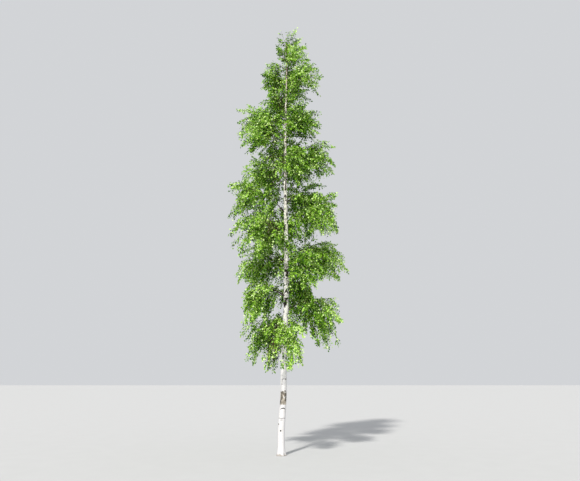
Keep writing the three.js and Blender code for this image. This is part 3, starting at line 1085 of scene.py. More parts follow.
# %% Relief of the trunk
LUMP_SIZE = (5.0, 5.0, 2.2)
LUMP_DEPTH = 0.035
WRINKLE_SIZE = (7.0, 7.0, 26.0)
WRINKLE_DEPTH = 0.0007
GROOVE_DEPTH = 0.0022
STRIPPED = (1.11, 1.42)
STRIPPED_DEPTH = 0.0025
STRIPPED_EDGE = 0.012
SWELLING = 0.55
SWELLING_WIDTH = 2.1
SWELLING_HEIGHT = 3.2


def noise_at(points, grains):
    """Smooth noise from -1 to 1 at each point, with so many grains in a metre each way."""
    return np.array([noise.noise(Vector(point)) for point in points * np.array(grains)])


relief = LUMP_DEPTH * girths * noise_at(trunk_points, LUMP_SIZE)
relief += WRINKLE_DEPTH * noise_at(trunk_points, WRINKLE_SIZE)
relief -= GROOVE_DEPTH * mark_near * np.exp(-(mark_across**2))
stripped = smoothstep(STRIPPED[0] - STRIPPED_EDGE, STRIPPED[0], heights)
stripped *= 1 - smoothstep(STRIPPED[1] - STRIPPED_EDGE, STRIPPED[1], heights)
relief -= STRIPPED_DEPTH * stripped
for bough in boughs:
    height, angle = trunk_leaving(bough)
    girth = bough.girths[0]
    sideways = turn_between(angles, angle) * girths / (SWELLING_WIDTH * girth)
    upward = (heights - height) / (SWELLING_HEIGHT * girth)
    relief += SWELLING * girth * np.exp(-(sideways**2) - upward**2)

girths = girths + relief
ways = np.stack((np.cos(angles), np.sin(angles)), axis=-1)
trunk_points[:, :2] = trunk_centre(heights)[:, :2] + ways * girths[:, None]
trunk_points[:, 2] = heights
write_points(trunk, trunk_points)
close_ends(trunk)
print("relief from", round(1000 * relief.min(), 1), "to", round(1000 * relief.max(), 1), "mm")

# %% [markdown]
# The finish of the bark changes with height. Low down the paper is smooth, bright and white. Higher
# it is a warmer cream, then a pinkish one, both painted far lighter than the white: painted light
# for the stem in the crown's shade. Near the top it is young and brown. Painted pictures could give
# all this too, but noise on the tree's own coordinates has no seam and no size limit. A noise is
# given by its grains in a metre, across and upward, and spots also by where their edge is.

# %% The paper of the bark
WHITE_PAPER = (0.67, 0.66, 0.675)
GREY_PAPER = (0.58, 0.57, 0.555)
# The cream and the pink are painted far lighter than the white: painted light for the stem in the
# crown's shade.
CREAM_PAPER_WITH_PAINTED_LIGHT = (0.95, 0.925, 0.87)
PINK_PAPER_WITH_PAINTED_LIGHT = (0.90, 0.835, 0.755)
YOUNG_BARK = (0.24, 0.15, 0.10)
TO_CREAM = (3.0, 6.6)
TO_PINK = (6.5, 11.5)
TO_BROWN = (9.2, 10.8)
CLOUD_GRAIN = (3, 1.6)
SMUDGES = ((8, 9, 5, 0.6), (0.46, 0.70))
SMUDGE_STRENGTH = 0.6
SMUDGES_TO_PINK = (3, 8)

bark = Finish("white_bark")
height = bark.height()
clouds = bark.grain(*CLOUD_GRAIN)
paper = bark.blend((height + clouds * 2).fade(*TO_CREAM), WHITE_PAPER, CREAM_PAPER_WITH_PAINTED_LIGHT)
paper = bark.blend((height + clouds * 3).fade(*TO_PINK), paper, PINK_PAPER_WITH_PAINTED_LIGHT)
paper = bark.blend((height + clouds).fade(*TO_BROWN), paper, YOUNG_BARK)
smudge = bark.blend(height.fade(*SMUDGES_TO_PINK), GREY_PAPER, PINK_PAPER_WITH_PAINTED_LIGHT)
paper = bark.blend(bark.spots(*SMUDGES) * SMUDGE_STRENGTH, paper, smudge)
print("the paper turns cream from", TO_CREAM[0], "m up, and brown from", TO_BROWN[0], "m")

# %% [markdown]
# At breast height the paper has been peeled off all round. The inner bark shows there, weathered in
# dark upright streaks, with a ragged upper edge, and with curls and scraps of paper left on it. It
# could be a piece of its own, but as a band of the same finish it follows the trunk's relief.

# %% The stripped stretch
STRIPPED_DARK = (0.10, 0.087, 0.070)
STRIPPED_LIGHT = (0.50, 0.45, 0.38)
CURL = (0.07, 0.052, 0.042)
LOWER_EDGE = (1.104, 1.112)
UPPER_EDGE = (1.49, 1.505)
RAGGED_GRAIN = (10, 3, 4)
RAGGED_HEIGHT = 0.2
STREAK_GRAIN = (20, 6, 5, 0.65)
STREAK_EDGE = (0.44, 0.58)
CURLS = ((34, 48, 4, 0.6), (0.56, 0.64))
CURL_STRENGTH = 0.85
SCRAPS = ((26, 17, 5, 0.6), (0.57, 0.60))

ragged = height + bark.grain(*RAGGED_GRAIN) * RAGGED_HEIGHT
in_strip = height.fade(*LOWER_EDGE) * (1 - ragged.fade(*UPPER_EDGE))
streaks = bark.grain(*STREAK_GRAIN)
curls = bark.spots(*CURLS) * CURL_STRENGTH
bared = bark.blend(streaks.fade(*STREAK_EDGE), STRIPPED_DARK, STRIPPED_LIGHT)
bared = bark.blend(curls, bared, CURL)
bared = bark.blend(bark.spots(*SCRAPS), bared, GREY_PAPER)
colour = bark.blend(in_strip, paper, bared)
print("the bark is stripped from", STRIPPED[0], "to", STRIPPED[1], "m")

# %% [markdown]
# The bark breathes through short level slits, which are noise stretched sideways. Black crust breaks
# through the paper in specks and patches, more of them higher up, and fills the marks of the lost
# branches, whose edges are frayed by noise. Rain has splashed soil on the foot. Each of these only
# blends one more colour over the last.

# %% Slits, crust and soil
SLIT = (0.17, 0.14, 0.12)
CRUST = (0.010, 0.008, 0.007)
SOIL = (0.20, 0.17, 0.14)
MORE_FROM = (1.6, 5.5)
SLITS = ((20, 230, 2), (0.60, 0.70))
SLITS_LOW = 0.4
SLITS_ADDED = 0.35
SPECKS = ((42, 60, 3), (0.63, 0.68))
SPECKS_LOW = 0.06
SPECKS_ADDED = 0.7
PATCH_GRAIN = (15, 11, 5, 0.65)
PATCH_EDGE = (0.65, 0.675)
PATCH_GROWS = 0.085
PATCHES_GROW = (2, 6)
PATCHES_FROM = (2, 3)
NOISE_MIDDLE = 0.5
FRAY_GRAIN = (90, 90)
FRAY = 1.4
WANDER_GRAIN = (22, 22)
WANDER = 1.6
LINE_EDGE = (0.75, 1.25)
SPLASH_GRAIN = (24, 16, 5, 0.65)
SPLASH_HEIGHT = 0.2
SPLASH_EDGE = (0.10, 0.17)
SPLASH_STRENGTH = 0.75

upper = height.fade(*MORE_FROM)
slits = bark.spots(*SLITS) * (SLITS_LOW + upper * SLITS_ADDED)
specks = bark.spots(*SPECKS) * (SPECKS_LOW + upper * SPECKS_ADDED)
patches = bark.grain(*PATCH_GRAIN) + height.fade(*PATCHES_GROW) * PATCH_GROWS
patches = patches.fade(*PATCH_EDGE) * height.fade(*PATCHES_FROM)
frayed = (bark.grain(*FRAY_GRAIN) - NOISE_MIDDLE) * FRAY
frayed = frayed + (bark.grain(*WANDER_GRAIN) - NOISE_MIDDLE) * WANDER
lines = 1 - abs(bark.attribute("mark_across") + frayed).fade(*LINE_EDGE)
lines = lines * bark.attribute("mark_near")
colour = bark.blend(slits, colour, SLIT)
for crusted in (specks, patches, lines):
    colour = bark.blend(crusted, colour, CRUST)
splash = height + bark.grain(*SPLASH_GRAIN) * SPLASH_HEIGHT
colour = bark.blend((1 - splash.fade(*SPLASH_EDGE)) * SPLASH_STRENGTH, colour, SOIL)
print("the finish of the bark has", len(bark.tree.nodes), "nodes so far")

# %% [markdown]
# Smooth paper shines a little, and stripped or crusted bark is duller. The creases are too fine for
# the mesh, so a bump node gives them. Then the trunk takes the place of its solid.

# %% The skin of the trunk
BARK_GLOSS = 0.2
BARK_ROUGHNESS = 0.52
DULLER = 0.3
CRUMPLE_GRAIN = (60, 140, 4)
CRUMPLE = 0.4
SLIT_DEPTH = 0.5
PATCH_DEPTH = 0.4
CREASE_DEPTH = 0.0025
CREASE_STRENGTH = 0.6

dull = in_strip * DULLER + (lines + patches + slits) * DULLER
crumpled = bark.grain(*CRUMPLE_GRAIN) * CRUMPLE - slits * SLIT_DEPTH
crumpled = crumpled + in_strip * (streaks + curls) - patches * PATCH_DEPTH
skin = bark.surface(
    base_color=colour,
    roughness=dull + BARK_ROUGHNESS,
    specular_ior_level=BARK_GLOSS,
    normal=bark.bump(crumpled, CREASE_DEPTH, CREASE_STRENGTH),
)
trunk.data.materials.append(bark.end(skin))
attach(trunk, "root")
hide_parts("trunk")
print(trunk.name, "has", len(trunk.data.polygons), "faces")

# %% [markdown]
# The bark of a bough is still thin, dark, and dotted with pale pores, and its colour is painted
# nearly black, as painted shade for the crown's shadow on the boughs. Each bough could have a finish
# with its own shades, but one for all of them is enough, because the noise differs from place to
# place.

# %% Finish of the boughs
# Both browns are painted nearly black: painted shade from the crown.
BOUGH_DARK_AND_SHADE = (0.022, 0.016, 0.013)
BOUGH_LIGHT_AND_SHADE = (0.065, 0.046, 0.037)
BOUGH_PORE = (0.28, 0.24, 0.20)
BOUGH_GRAIN = (18, 18)
PORES = ((120, 120, 2), (0.66, 0.72))
PORE_STRENGTH = 0.5
CRINKLE_GRAIN = (90, 90, 4)
CRINKLE_DEPTH = 0.0012
CRINKLE_STRENGTH = 0.6
BOUGH_ROUGHNESS = 0.62

bough_finish = Finish("bough_bark")
pores = bough_finish.spots(*PORES)
bark_and_shade = bough_finish.blend(bough_finish.grain(*BOUGH_GRAIN), BOUGH_DARK_AND_SHADE, BOUGH_LIGHT_AND_SHADE)
bark_and_shade = bough_finish.blend(pores * PORE_STRENGTH, bark_and_shade, BOUGH_PORE)
crinkle = bough_finish.grain(*CRINKLE_GRAIN) + pores
bough_shader = bough_finish.surface(
    base_color=bark_and_shade,
    roughness=BOUGH_ROUGHNESS,
    specular_ior_level=BARK_GLOSS,
    normal=bough_finish.bump(crinkle, CRINKLE_DEPTH, CRINKLE_STRENGTH),
)
bough_finish.end(bough_shader)
print("the finish of the boughs has", len(bough_finish.tree.nodes), "nodes")

# %% [markdown]
# A bough is drawn out of a circle like the trunk. It starts inside the trunk, so that no gap shows,
# with a collar where the two have grown together, and its tip takes in the foot of its stem. All the
# boughs could be one mesh with the trunk, but in the solids each one is a part of its own, so it
# stays a piece of its own here too.

# %% Boughs
BOUGH_SIDES = 10
BOUGH_RINGS = 14
BOUGH_FINENESS = 1
SUNK = 0.45
COLLAR = 0.75
COLLAR_FADE = 0.06
KNOBS = (22.0, 22.0, 22.0)
KNOB_DEPTH = 0.16


def facing(direction):
    """How to turn a level circle so that it looks along a direction."""
    return Vector(direction).to_track_quat("Z", "Y").to_euler()


def bough_piece(bough, name):
    start = SUNK * float(trunk_radius(bough.origin[2], 0)) / bough.length
    shares = np.linspace(start, 1, BOUGH_RINGS + 1)
    out = bough.length * shares - float(trunk_radius(bough.origin[2], 0))
    collars = 1 + COLLAR * np.exp(-np.maximum(out, 0) / COLLAR_FADE)
    radii = bough.girth(shares) * collars
    piece = drawn_tube(name, bough.point(shares), radii, BOUGH_SIDES, facing(bough.direction))
    subdivide_smoothly(piece, BOUGH_FINENESS)
    points = read_points(piece)
    lengthwise = np.clip((points - bough.origin) @ bough.direction / bough.length, 0, 1)
    away = points - bough.point(lengthwise)
    write_points(piece, points + away * KNOB_DEPTH * noise_at(points, KNOBS)[:, None])
    close_ends(piece)
    return piece


for i, bough in enumerate(boughs):
    number = f"{i + 1:02d}"
    piece = bough_piece(bough, f"bough_bark_{number}")
    piece.data.materials.append(bough_finish.material)
    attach(piece, "root")
    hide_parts(f"bough_{number}")
print(len(boughs), "boughs, the last with", len(piece.data.polygons), "faces")

# %% [markdown]
# Now the fine twigs. There are far too many to draw by hand, so their points are worked out in
# arrays, one row for each twig, and joined into a few meshes. A twig is a thin closed tube that
# ends in a point. Three sides are enough for the finest ones, which are seen as hairlines.

# %% Tubes from arrays
def tubes(lines, girths, sides):
    """Points and triangles of thin closed tubes round many lines, each of which ends in a point."""
    count, stops = lines.shape[:2]
    along = unit(lines[:, -1] - lines[:, 0])
    upright = np.abs(along[:, 2:]) > ALMOST_UPRIGHT
    aside = unit(np.cross(along, np.where(upright, (1.0, 0, 0), UP)))
    over = np.cross(aside, along)
    turns = 2 * np.pi * np.arange(sides) / sides
    ring = aside[:, None] * np.cos(turns)[:, None] + over[:, None] * np.sin(turns)[:, None]
    rings = lines[:, :-1, None] + girths[:, :-1, None, None] * ring[:, None]
    points = np.concatenate([rings.reshape(count, -1, 3), lines[:, -1:]], axis=1)
    triangles = []
    for row in range(stops - 1):
        for k in range(sides):
            here, beside = row * sides + k, row * sides + (k + 1) % sides
            if row == stops - 2:
                triangles.append((here, (stops - 1) * sides, beside))
            else:
                triangles.append((here, here + sides, beside + sides))
                triangles.append((here, beside + sides, beside))
    triangles.extend((0, k, k + 1) for k in range(1, sides - 1))
    firsts = np.arange(count) * points.shape[1]
    faces = np.array(triangles)[None] + firsts[:, None, None]
    return points.reshape(-1, 3), faces.reshape(-1, 3)


simplest = tubes(np.array([((0.0, 0.0, 0.0), (0.0, 0.0, 1.0))]), np.ones((1, 2)), 3)
print("the simplest tube has", len(simplest[0]), "points and", len(simplest[1]), "triangles")

# %% [markdown]
# One object for each twig or leaf would be slow, so what belongs together is heaped up first and then
# becomes a single mesh. Each thing brings the numbers of its finishes with it, so that old and young
# twigs, and all the greens, still keep their own.

# %% Heaps that become one piece
class Heap:
    """Many small things that are to become one mesh: their points, triangles and finishes."""

    def __init__(self):
        self.points = []
        self.faces = []
        self.finishes = []
        self.count = 0

    def add(self, points, faces, finishes):
        self.points.append(points)
        self.faces.append(faces + self.count)
        self.finishes.append(np.broadcast_to(finishes, len(faces)))
        self.count += len(points)

    def piece(self, name, materials, smooth):
        mesh = bpy.data.meshes.new(name)
        faces = np.concatenate(self.faces)
        mesh.from_pydata(np.concatenate(self.points).tolist(), [], faces.tolist())
        for material in materials:
            mesh.materials.append(material)
        mesh.polygons.foreach_set("material_index", np.concatenate(self.finishes).astype(np.int32))
        mesh.polygons.foreach_set("use_smooth", np.full(len(faces), smooth))
        mesh.update()
        piece = bpy.data.objects.new(name, mesh)
        bpy.context.scene.collection.objects.link(piece)
        return piece


print("a new heap holds", Heap().count, "points")

# %% [markdown]
# The crown is cut into a few tiers, from the lowest masses to the leader, so that no piece is too
# heavy. Each tier gets two pieces, its twigs and its leaves, and they stand for its masses together.

# %% Tiers, stems and shoots
TIERS = 5
STEM_STOPS = 11
STEM_SIDES = 6
SHOOT_STOPS = 6
SHOOT_SIDES = 4
FOOT_SUNK = 0.012
OLD_TWIG = 0
YOUNG_TWIG = 1

tier_of_mass = np.empty(len(stems), int)
tier_of_mass[np.argsort(middles[:, 2])] = np.arange(len(stems)) * TIERS // len(stems)
twig_heaps = [Heap() for _ in range(TIERS)]


def limb_lines(limbs, stops):
    """The lines of many limbs and their girths, with each foot sunk a little in what bears it."""
    shares = np.linspace(0, 1, stops)
    lines = np.array([limb.point(shares) for limb in limbs])
    lines[:, 0] -= np.array([limb.direction for limb in limbs]) * FOOT_SUNK
    return lines, np.array([limb.girth(shares) for limb in limbs])


for mass, stem in enumerate(stems):
    heap = twig_heaps[tier_of_mass[mass]]
    heap.add(*tubes(*limb_lines([stem], STEM_STOPS), STEM_SIDES), OLD_TWIG)
    if mass_shoots[mass]:
        heap.add(*tubes(*limb_lines(mass_shoots[mass], SHOOT_STOPS), SHOOT_SIDES), OLD_TWIG)
print("tiers of", np.bincount(tier_of_mass), "masses")

# %% [markdown]
# Each spray could be grown alone in a loop, but for thousands of them arrays are far quicker. So all
# are grown together: one array holds the first side twig of every spray, the next array the second,
# and so on. A class holds such an array of twigs.

# %% One twig of every spray
FINE_SEED = 2024

fine = np.random.default_rng(FINE_SEED)
sprays = [spray for kept in mass_sprays for spray in kept]
spray_mass = np.array([spray.mass for spray in sprays])
spray_scale = np.array([spray.scale for spray in sprays])
spray_root = np.array([spray.origin for spray in sprays])
spray_way = np.array([spray.direction for spray in sprays])
spray_flat = np.array([spray.flat for spray in sprays])
spray_above = np.array([spray.above for spray in sprays])


class Twigs:
    """One twig for each spray, all of them sagging arcs."""

    def __init__(self, roots, ways, lengths, sags):
        self.roots = roots
        self.ways = ways
        self.lengths = lengths[:, None]
        self.sags = sags[:, None]

    def point(self, share):
        share = np.reshape(share, (-1, 1)) if np.ndim(share) else share
        return self.roots + self.lengths * (self.ways * share - UP * self.sags * share**2)

    def way(self, share):
        share = np.reshape(share, (-1, 1)) if np.ndim(share) else share
        return unit(self.ways - UP * 2 * self.sags * share)

    def heap_up(self, girths, stops, sides):
        """Adds the twigs to the heap of each one's tier."""
        shares = np.linspace(0, 1, stops)
        lines = np.stack([self.point(share) for share in shares], axis=1)
        radii = np.broadcast_to(within(girths, shares), lines.shape[:2])
        for tier in range(TIERS):
            here = tier_of_mass[spray_mass] == tier
            twig_heaps[tier].add(*tubes(lines[here], radii[here], sides), YOUNG_TWIG)


def many(pair):
    """One random value between the two of a pair for each spray."""
    return within(pair, fine.random(len(sprays)))


print(len(sprays), "sprays are grown together")

# %% [markdown]
# A spray has a thin drooping axis with side twigs to its left and right. Twigs of one length would be
# simpler, but they are longest in the middle, so that the whole keeps to the shape of the solid's
# blade.

# %% Twigs of the sprays
AXIS_SHARE = 0.88
AXIS_SAG = (0.03, 0.12)
AXIS_STOPS = 5
AXIS_GIRTHS = (0.0019, 0.0009)
TWIG_PLACES = (0.08, 0.2, 0.31, 0.42, 0.54, 0.66, 0.79)
TWIG_LENGTHS = (0.105, 0.145, 0.16, 0.155, 0.135, 0.11, 0.08)
TWIG_VARIES = (0.75, 1.1)
TWIG_OPENING = (36, 56)
TWIG_TILT = 0.3
TWIG_SAG = (0.05, 0.35)
TWIG_STOPS = 3
TWIG_GIRTHS = (0.0012, 0.0007)
FINEST_SIDES = 3

axes = Twigs(spray_root, spray_way, AXIS_SHARE * SPRAY_LENGTH * spray_scale, many(AXIS_SAG))
axes.heap_up(AXIS_GIRTHS, AXIS_STOPS, FINEST_SIDES)
first_side = np.where(fine.random(len(sprays)) < 0.5, 1.0, -1.0)
side_twigs = []
for k, (place, length) in enumerate(zip(TWIG_PLACES, TWIG_LENGTHS)):
    side = (first_side * (-1) ** k)[:, None]
    opening = np.radians(many(TWIG_OPENING))[:, None]
    tilt = many((-TWIG_TILT, TWIG_TILT))[:, None]
    way = axes.way(place) * np.cos(opening) + spray_flat * side * np.sin(opening) + spray_above * tilt
    lengths = length * spray_scale * many(TWIG_VARIES)
    twigs = Twigs(axes.point(place), unit(way), lengths, many(TWIG_SAG))
    twigs.heap_up(TWIG_GIRTHS, TWIG_STOPS, FINEST_SIDES)
    side_twigs.append(twigs)
print(len(sprays) * (1 + len(side_twigs)), "fine twigs")

# %% [markdown]
# Young birch twigs are a shiny reddish brown, and older ones are duller and darker. Both browns are
# also painted dark as painted shade, which deepens the shade in the crown. Noise could vary them, as
# on the boughs, but they are too thin for it to show, so each kind gets one plain colour. Then the
# twigs of each tier become one piece.

# %% Twig finishes and pieces
# Both browns are darkened in part as painted shade for the crown.
OLD_TWIG_BROWN = (0.070, 0.045, 0.032)
OLD_TWIG_ROUGHNESS = 0.6
YOUNG_TWIG_BROWN = (0.095, 0.048, 0.030)
YOUNG_TWIG_ROUGHNESS = 0.5
TWIG_GLOSS = 0.25


def twig_finish(name, brown, roughness):
    made = Finish(name)
    colour = (*brown, 1)
    return made.end(made.surface(base_color=colour, roughness=roughness, specular_ior_level=TWIG_GLOSS))


twig_finishes = (
    twig_finish("old_twig_bark", OLD_TWIG_BROWN, OLD_TWIG_ROUGHNESS),
    twig_finish("young_twig_bark", YOUNG_TWIG_BROWN, YOUNG_TWIG_ROUGHNESS),
)


def tier_nodes(tier):
    """The names of the masses of a tier."""
    return [MASS_NAMES[mass] for mass in np.flatnonzero(tier_of_mass == tier)]


for tier, heap in enumerate(twig_heaps):
    twig_piece = heap.piece(f"twigs_{tier + 1}", twig_finishes, True)
    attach(twig_piece, "root")
    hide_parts(*tier_nodes(tier))
    print(twig_piece.name, "has", len(twig_piece.data.polygons), "triangles")

# %% [markdown]
# A birch leaf is small and nearly a rhombus, widest below its middle, with a long fine stalk. Its
# two halves rise a little from the mid-rib, and its tip bends down, which gives each leaf a light
# and a dark half. One leaf is modelled, one metre long, from a circle of six corners that is
# split along the mid-rib, and is copied later at its real size.

# %% One leaf
BLADE_CORNERS = (
    (0.0, 1.0, -0.10),
    (-0.27, 0.66, -0.01),
    (-0.39, 0.30, 0.05),
    (0.0, 0.0, 0.0),
    (0.39, 0.30, 0.05),
    (0.27, 0.66, -0.01),
)
BLADE_TIP = 0
BLADE_BASE = 3
STALK = 0.32
STALK_WIDTH = 0.03


def select_corners(piece, chosen):
    """Selects only these corners of a piece, and goes to edit mode."""
    bpy.ops.object.mode_set(mode="EDIT")
    bpy.ops.mesh.select_mode(type="VERT")
    bpy.ops.mesh.select_all(action="DESELECT")
    bpy.ops.object.mode_set(mode="OBJECT")
    for index in chosen:
        piece.data.vertices[index].select = True
    bpy.ops.object.mode_set(mode="EDIT")


bpy.ops.object.select_all(action="DESELECT")
bpy.ops.mesh.primitive_circle_add(vertices=len(BLADE_CORNERS), radius=0.5, fill_type="NGON")
leaf = bpy.context.object
leaf.name = "leaf_pattern"
write_points(leaf, np.array(BLADE_CORNERS))
select_corners(leaf, (BLADE_TIP, BLADE_BASE))
bpy.ops.mesh.vert_connect()
bpy.ops.mesh.select_all(action="SELECT")
bpy.ops.mesh.quads_convert_to_tris()
bpy.ops.object.mode_set(mode="OBJECT")
select_corners(leaf, (BLADE_BASE,))
bpy.ops.mesh.extrude_vertices_move(TRANSFORM_OT_translate={"value": (-STALK_WIDTH / 2, -STALK, 0)})
bpy.ops.mesh.extrude_vertices_move(TRANSFORM_OT_translate={"value": (STALK_WIDTH, 0, 0)})
bpy.ops.object.mode_set(mode="OBJECT")
select_corners(leaf, (BLADE_BASE, len(BLADE_CORNERS), len(BLADE_CORNERS) + 1))
bpy.ops.mesh.edge_face_add()
bpy.ops.mesh.select_all(action="SELECT")
bpy.ops.mesh.normals_make_consistent(inside=False)
bpy.ops.object.mode_set(mode="OBJECT")

leaf_points = read_points(leaf)
leaf_faces = np.array([tuple(polygon.vertices) for polygon in leaf.data.polygons])
facing_down = sum(polygon.normal.z for polygon in leaf.data.polygons) < 0
leaf_faces = leaf_faces[:, ::-1] if facing_down else leaf_faces
bpy.data.objects.remove(leaf)
print("a leaf has", len(leaf_faces), "faces:", leaf_faces.tolist())

# %% [markdown]
# Leaves stand by turns to the left and right of each twig, with one at its tip. Their stalks let
# them hang and turn freely, so each gets a direction that mixes the twig's, the side's and down, and
# an upper side that looks up and out, both with some chance in them. The glints and dark gaps of a
# birch come in part from that spread; more glints are painted into the leaves' colour later.

# %% Where the leaves are
AXIS_LEAVES = 11
AXIS_LEAVES_ALONG = (0.16, 0.97)
AXIS_PLACE_VARIES = (-0.02, 0.02)
LEAF_STEP = 0.0255
TWIG_LEAVES_ALONG = (0.16, 0.95)
TWIG_PLACE_VARIES = (-0.03, 0.03)
LEAF_LENGTH = (0.035, 0.053)
LEAF_AHEAD = 0.75
LEAF_TILT = (-0.8, 0.8)
LEAF_DROOP = (0.1, 0.95)
LEAF_CHANCE = 0.42
# Shares of a spray's tone: how far out it stands (painted light outside, painted shade inside), its
# mass, and chance.
TONE_SHARES = (0.4, 0.25, 0.35)

leaf_rows = []


def put_leaves(twigs, share, side):
    """One leaf for each spray at a share of its twig's length, to one side of it."""
    sideways = spray_flat * side + spray_above * many(LEAF_TILT)[:, None]
    way = twigs.way(share) * LEAF_AHEAD + unit(sideways) * np.abs(side)
    way = unit(way) + fine.normal(size=way.shape) * LEAF_CHANCE - UP * many(LEAF_DROOP)[:, None]
    leaf_rows.append((twigs.point(share), unit(way), many(LEAF_LENGTH), spray_tone, spray_mass))


# How far out a spray stands sets part of its tone: painted light on the outer crown, painted shade
# inside it.
spray_axis = trunk_centre(spray_root[:, 2])[:, :2]
widest = np.array([crown_radius(height) for height in spray_root[:, 2]])
spray_out = np.linalg.norm(spray_root[:, :2] - spray_axis, axis=-1) / widest
mass_tone = fine.random(len(stems))
spray_tone = np.stack((np.clip(spray_out, 0, 1), mass_tone[spray_mass], fine.random(len(sprays))))
spray_tone = np.array(TONE_SHARES) @ spray_tone

for n in range(AXIS_LEAVES):
    place = within(AXIS_LEAVES_ALONG, n / (AXIS_LEAVES - 1)) + many(AXIS_PLACE_VARIES)
    put_leaves(axes, place, (first_side * (-1) ** n)[:, None])
put_leaves(axes, 1.0, np.zeros((len(sprays), 1)))
for k, (twigs, length) in enumerate(zip(side_twigs, TWIG_LENGTHS)):
    count = round(length * (1 - TWIG_LEAVES_ALONG[0]) / LEAF_STEP)
    for n in range(count):
        place = within(TWIG_LEAVES_ALONG, n / count) + many(TWIG_PLACE_VARIES)
        put_leaves(twigs, place, (first_side * (-1) ** (n + k))[:, None])
    put_leaves(twigs, 1.0, np.zeros((len(sprays), 1)))
print(sum(len(row[0]) for row in leaf_rows), "leaves on the sprays")

# %% [markdown]
# Older twigs bear leaves too: every few centimetres a short spur, as short as a bud, holds a pair.
# They close the crown along its stems and shoots, where the sprays leave it open.

# %% Spur leaves
SPUR_STEP = 0.034
SPUR_FROM = 0.1
SPUR_LEAVES = 2
SPUR_AHEAD = 0.3
SPUR_TONE = 0.25


def put_spurs(limb, mass):
    count = int(limb.length * (1 - SPUR_FROM) / SPUR_STEP) * SPUR_LEAVES
    shares = np.sort(SPUR_FROM + (1 - SPUR_FROM) * fine.random(count))
    roots = limb.point(shares)
    ways = unit(fine.normal(size=roots.shape) + limb.direction * SPUR_AHEAD)
    ways = unit(ways - UP * within(LEAF_DROOP, fine.random(count))[:, None])
    tones = SPUR_TONE + (1 - SPUR_TONE) * fine.random(count)
    lengths = within(LEAF_LENGTH, fine.random(count))
    leaf_rows.append((roots, ways, lengths, tones, np.full(count, mass)))


for mass, stem in enumerate(stems):
    for limb in (stem, *mass_shoots[mass]):
        put_spurs(limb, mass)

leaf_root, leaf_way, leaf_length, leaf_tone, leaf_mass = map(np.concatenate, zip(*leaf_rows))
print(len(leaf_root), "leaves in all")

# %% [markdown]
# In a forest the white stem shows between the leaves nearly all the way up, in patches of sunlight,
# and it is what one knows the tree by. So each leaf that would hang before the stem, seen from the
# viewer's side or from the sun, is found by following the line from it to the stem, and most of
# these are left off. More stay on at some heights, where leafy twigs hang across the stem: the list
# COVERED gives each height, half its stretch, and the share that stays. A wider strip is freed round
# one fork of dark boughs, 6 m up, that shows from afar. The leaves could be thinned at random too,
# but then the stem would stay hidden, and the crown would turn thin.

# %% Leaves before the stem
SHOWN_FROM = 1.2
SPARE_FOR_EYE = 0.02
SPARE_FOR_SUN = 0.065
STAY_FOR_EYE = 0.13
STAY_FOR_SUN = 0.04
COVER_FOR_SUN = 0.2
COVERED = (
    (2.10, 0.25, 0.4),
    (2.75, 0.30, 0.7),
    (3.05, 0.20, 0.5),
    (5.00, 0.33, 0.8),
    (7.06, 0.14, 0.8),
    (7.95, 0.10, 0.5),
    (8.45, 0.16, 0.8),
    (9.20, 0.16, 0.6),
)
COVER_EDGE = 4
FORK = 6.12
FORK_HALF = 0.27
FORK_SPARE = 0.17
NEARER_ROUNDS = 2


def hides_stem(ways, spare, stay_on, cover):
    """Which leaves lie before the stem, for light that goes along these ways, and are left off."""
    level = unit(ways[:, :2])
    hit = leaf_root[:, 2]
    for _ in range(NEARER_ROUNDS):
        to_stem = trunk_centre(hit)[:, :2] - leaf_root[:, :2]
        ahead = (to_stem * level).sum(axis=1)
        climb = ways[:, 2] / np.linalg.norm(ways[:, :2], axis=1)
        hit = np.clip(leaf_root[:, 2] + ahead * climb, 0, TRUNK_TOP)
    miss = np.abs(to_stem[:, 0] * level[:, 1] - to_stem[:, 1] * level[:, 0])
    spare = spare + FORK_SPARE * np.exp(-(((hit - FORK) / FORK_HALF) ** 2))
    hides = (ahead > 0) & (miss < trunk_radius(hit, 0) + spare) & (hit > SHOWN_FROM)
    stay = np.full(len(hit), stay_on)
    for height, half, share in COVERED:
        stay = np.maximum(stay, cover * share * np.exp(-(((hit - height) / half) ** COVER_EDGE)))
    return hides & (fine.random(len(hit)) > stay)


from_eye = leaf_root - np.array(eye.location)
from_sun = np.broadcast_to(np.array(SUN_WAY), leaf_root.shape)
in_view = hides_stem(from_eye, SPARE_FOR_EYE, STAY_FOR_EYE, 1)
in_sun = hides_stem(from_sun, SPARE_FOR_SUN, STAY_FOR_SUN, COVER_FOR_SUN)
on_tree = ~(in_view | in_sun)
leaf_root, leaf_way, leaf_length = leaf_root[on_tree], leaf_way[on_tree], leaf_length[on_tree]
leaf_tone, leaf_mass = leaf_tone[on_tree], leaf_mass[on_tree]
print(int((~on_tree).sum()), "leaves left off before the stem")

# %% [markdown]
# Outer sprays stand in the sun and are painted a lighter yellow green, as painted light, and inner
# ones are painted deeper, as painted shade; some masses are lighter than others at random. The green
# is dealt out by spray, and each leaf may take a neighbouring one. A leaf is thin enough for light to
# come through it, which a second, translucent shader gives.

# %% Tints, with painted light and shade
# From the darkest green, painted shade for inner sprays, to the lightest, painted sunlight for outer
# ones.
TINTS_AND_PAINTED_LIGHT = (
    (0.012, 0.050, 0.001),
    (0.040, 0.130, 0.003),
    (0.095, 0.250, 0.007),
    (0.190, 0.410, 0.017),
    (0.330, 0.590, 0.050),
    (0.510, 0.770, 0.150),
    (0.700, 0.900, 0.370),
)
LEAF_ROUGHNESS = 0.36
LEAF_GLOSS = 0.32
THROUGH = 0.25
THROUGH_COLOUR = (1.1, 1.15, 0.6)


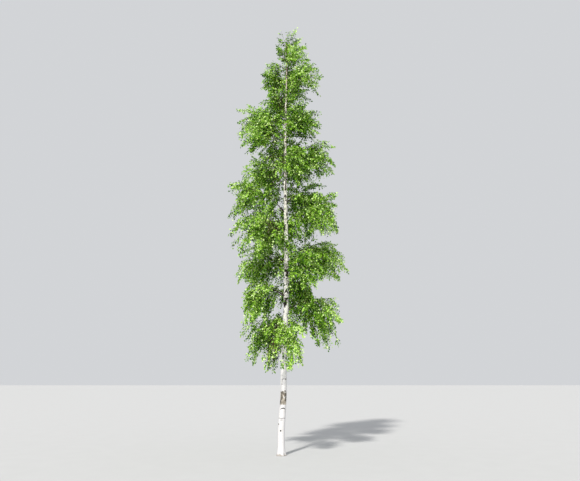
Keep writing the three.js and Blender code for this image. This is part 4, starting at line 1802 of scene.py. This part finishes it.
def leaf_finish(number, green_and_light):
    """A thin leaf: most light comes off its face, and some comes through, yellower."""
    made = Finish(f"leaf_green_{number}")
    face = made.surface(base_color=(*green_and_light, 1), roughness=LEAF_ROUGHNESS, specular_ior_level=LEAF_GLOSS)
    glow = tuple(min(1, a * b) for a, b in zip(green_and_light, THROUGH_COLOUR))
    through = made.node("ShaderNodeBsdfTranslucent", {}, {"Color": (*glow, 1)})
    return made.end(made.node("ShaderNodeMixShader", {}, {0: THROUGH, 1: face, 2: through}))


leaf_finishes = [leaf_finish(number + 1, green_and_light) for number, green_and_light in enumerate(TINTS_AND_PAINTED_LIGHT)]
print(len(leaf_finishes), "greens")

# %% [markdown]
# Every leaf is a copy of the one that was modelled, turned and sized, with the end of its stalk on the
# twig and its upper side to the light, up and outward, with some chance in it. Copies could be made
# one by one, but so many go far quicker in arrays. They are joined by tier, and now and then one
# leaf is given the lightest green as a painted glint, a sun highlight painted into its colour.

# %% Leaf pieces
FACE_UP = 0.7
FACE_OUT = 0.6
FACE_CHANCE = 0.75
HARDLY_OUT = (1e-6, 0, 0)
LEAF_TINT_CHANCE = 1.8
PAINTED_GLINTS = 0.025

out = leaf_root - trunk_centre(leaf_root[:, 2])
out = unit(out * (1, 1, 0) + HARDLY_OUT)
face_way = UP * FACE_UP + out * FACE_OUT + fine.normal(size=out.shape) * FACE_CHANCE
across_way = unit(np.cross(leaf_way, face_way))
leaf_turns = np.stack((across_way, leaf_way, np.cross(across_way, leaf_way)), axis=1)
from_twig = leaf_points + (0, STALK, 0)
all_points = leaf_root[:, None] + (from_twig @ leaf_turns) * leaf_length[:, None, None]

leaf_green_and_light = leaf_tone * (len(TINTS_AND_PAINTED_LIGHT) - 1) + LEAF_TINT_CHANCE * fine.normal(size=len(leaf_tone))
leaf_green_and_light = np.clip(leaf_green_and_light, 0, len(TINTS_AND_PAINTED_LIGHT) - 1).astype(int)
# A few leaves at random take the lightest green: a painted glint.
leaf_green_and_light[fine.random(len(leaf_green_and_light)) < PAINTED_GLINTS] = len(TINTS_AND_PAINTED_LIGHT) - 1
print("leaves of each green:", np.bincount(leaf_green_and_light))

for tier in range(TIERS):
    here = tier_of_mass[leaf_mass] == tier
    points = all_points[here]
    firsts = np.arange(len(points)) * len(leaf_points)
    faces = leaf_faces[None] + firsts[:, None, None]
    heap = Heap()
    heap.add(points.reshape(-1, 3), faces.reshape(-1, 3), np.repeat(leaf_green_and_light[here], len(leaf_faces)))
    leaf_piece = heap.piece(f"leaves_{tier + 1}", leaf_finishes, False)
    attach(leaf_piece, "root")
    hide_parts(*tier_nodes(tier))
    print(leaf_piece.name, "has", len(leaf_piece.data.polygons), "triangles")
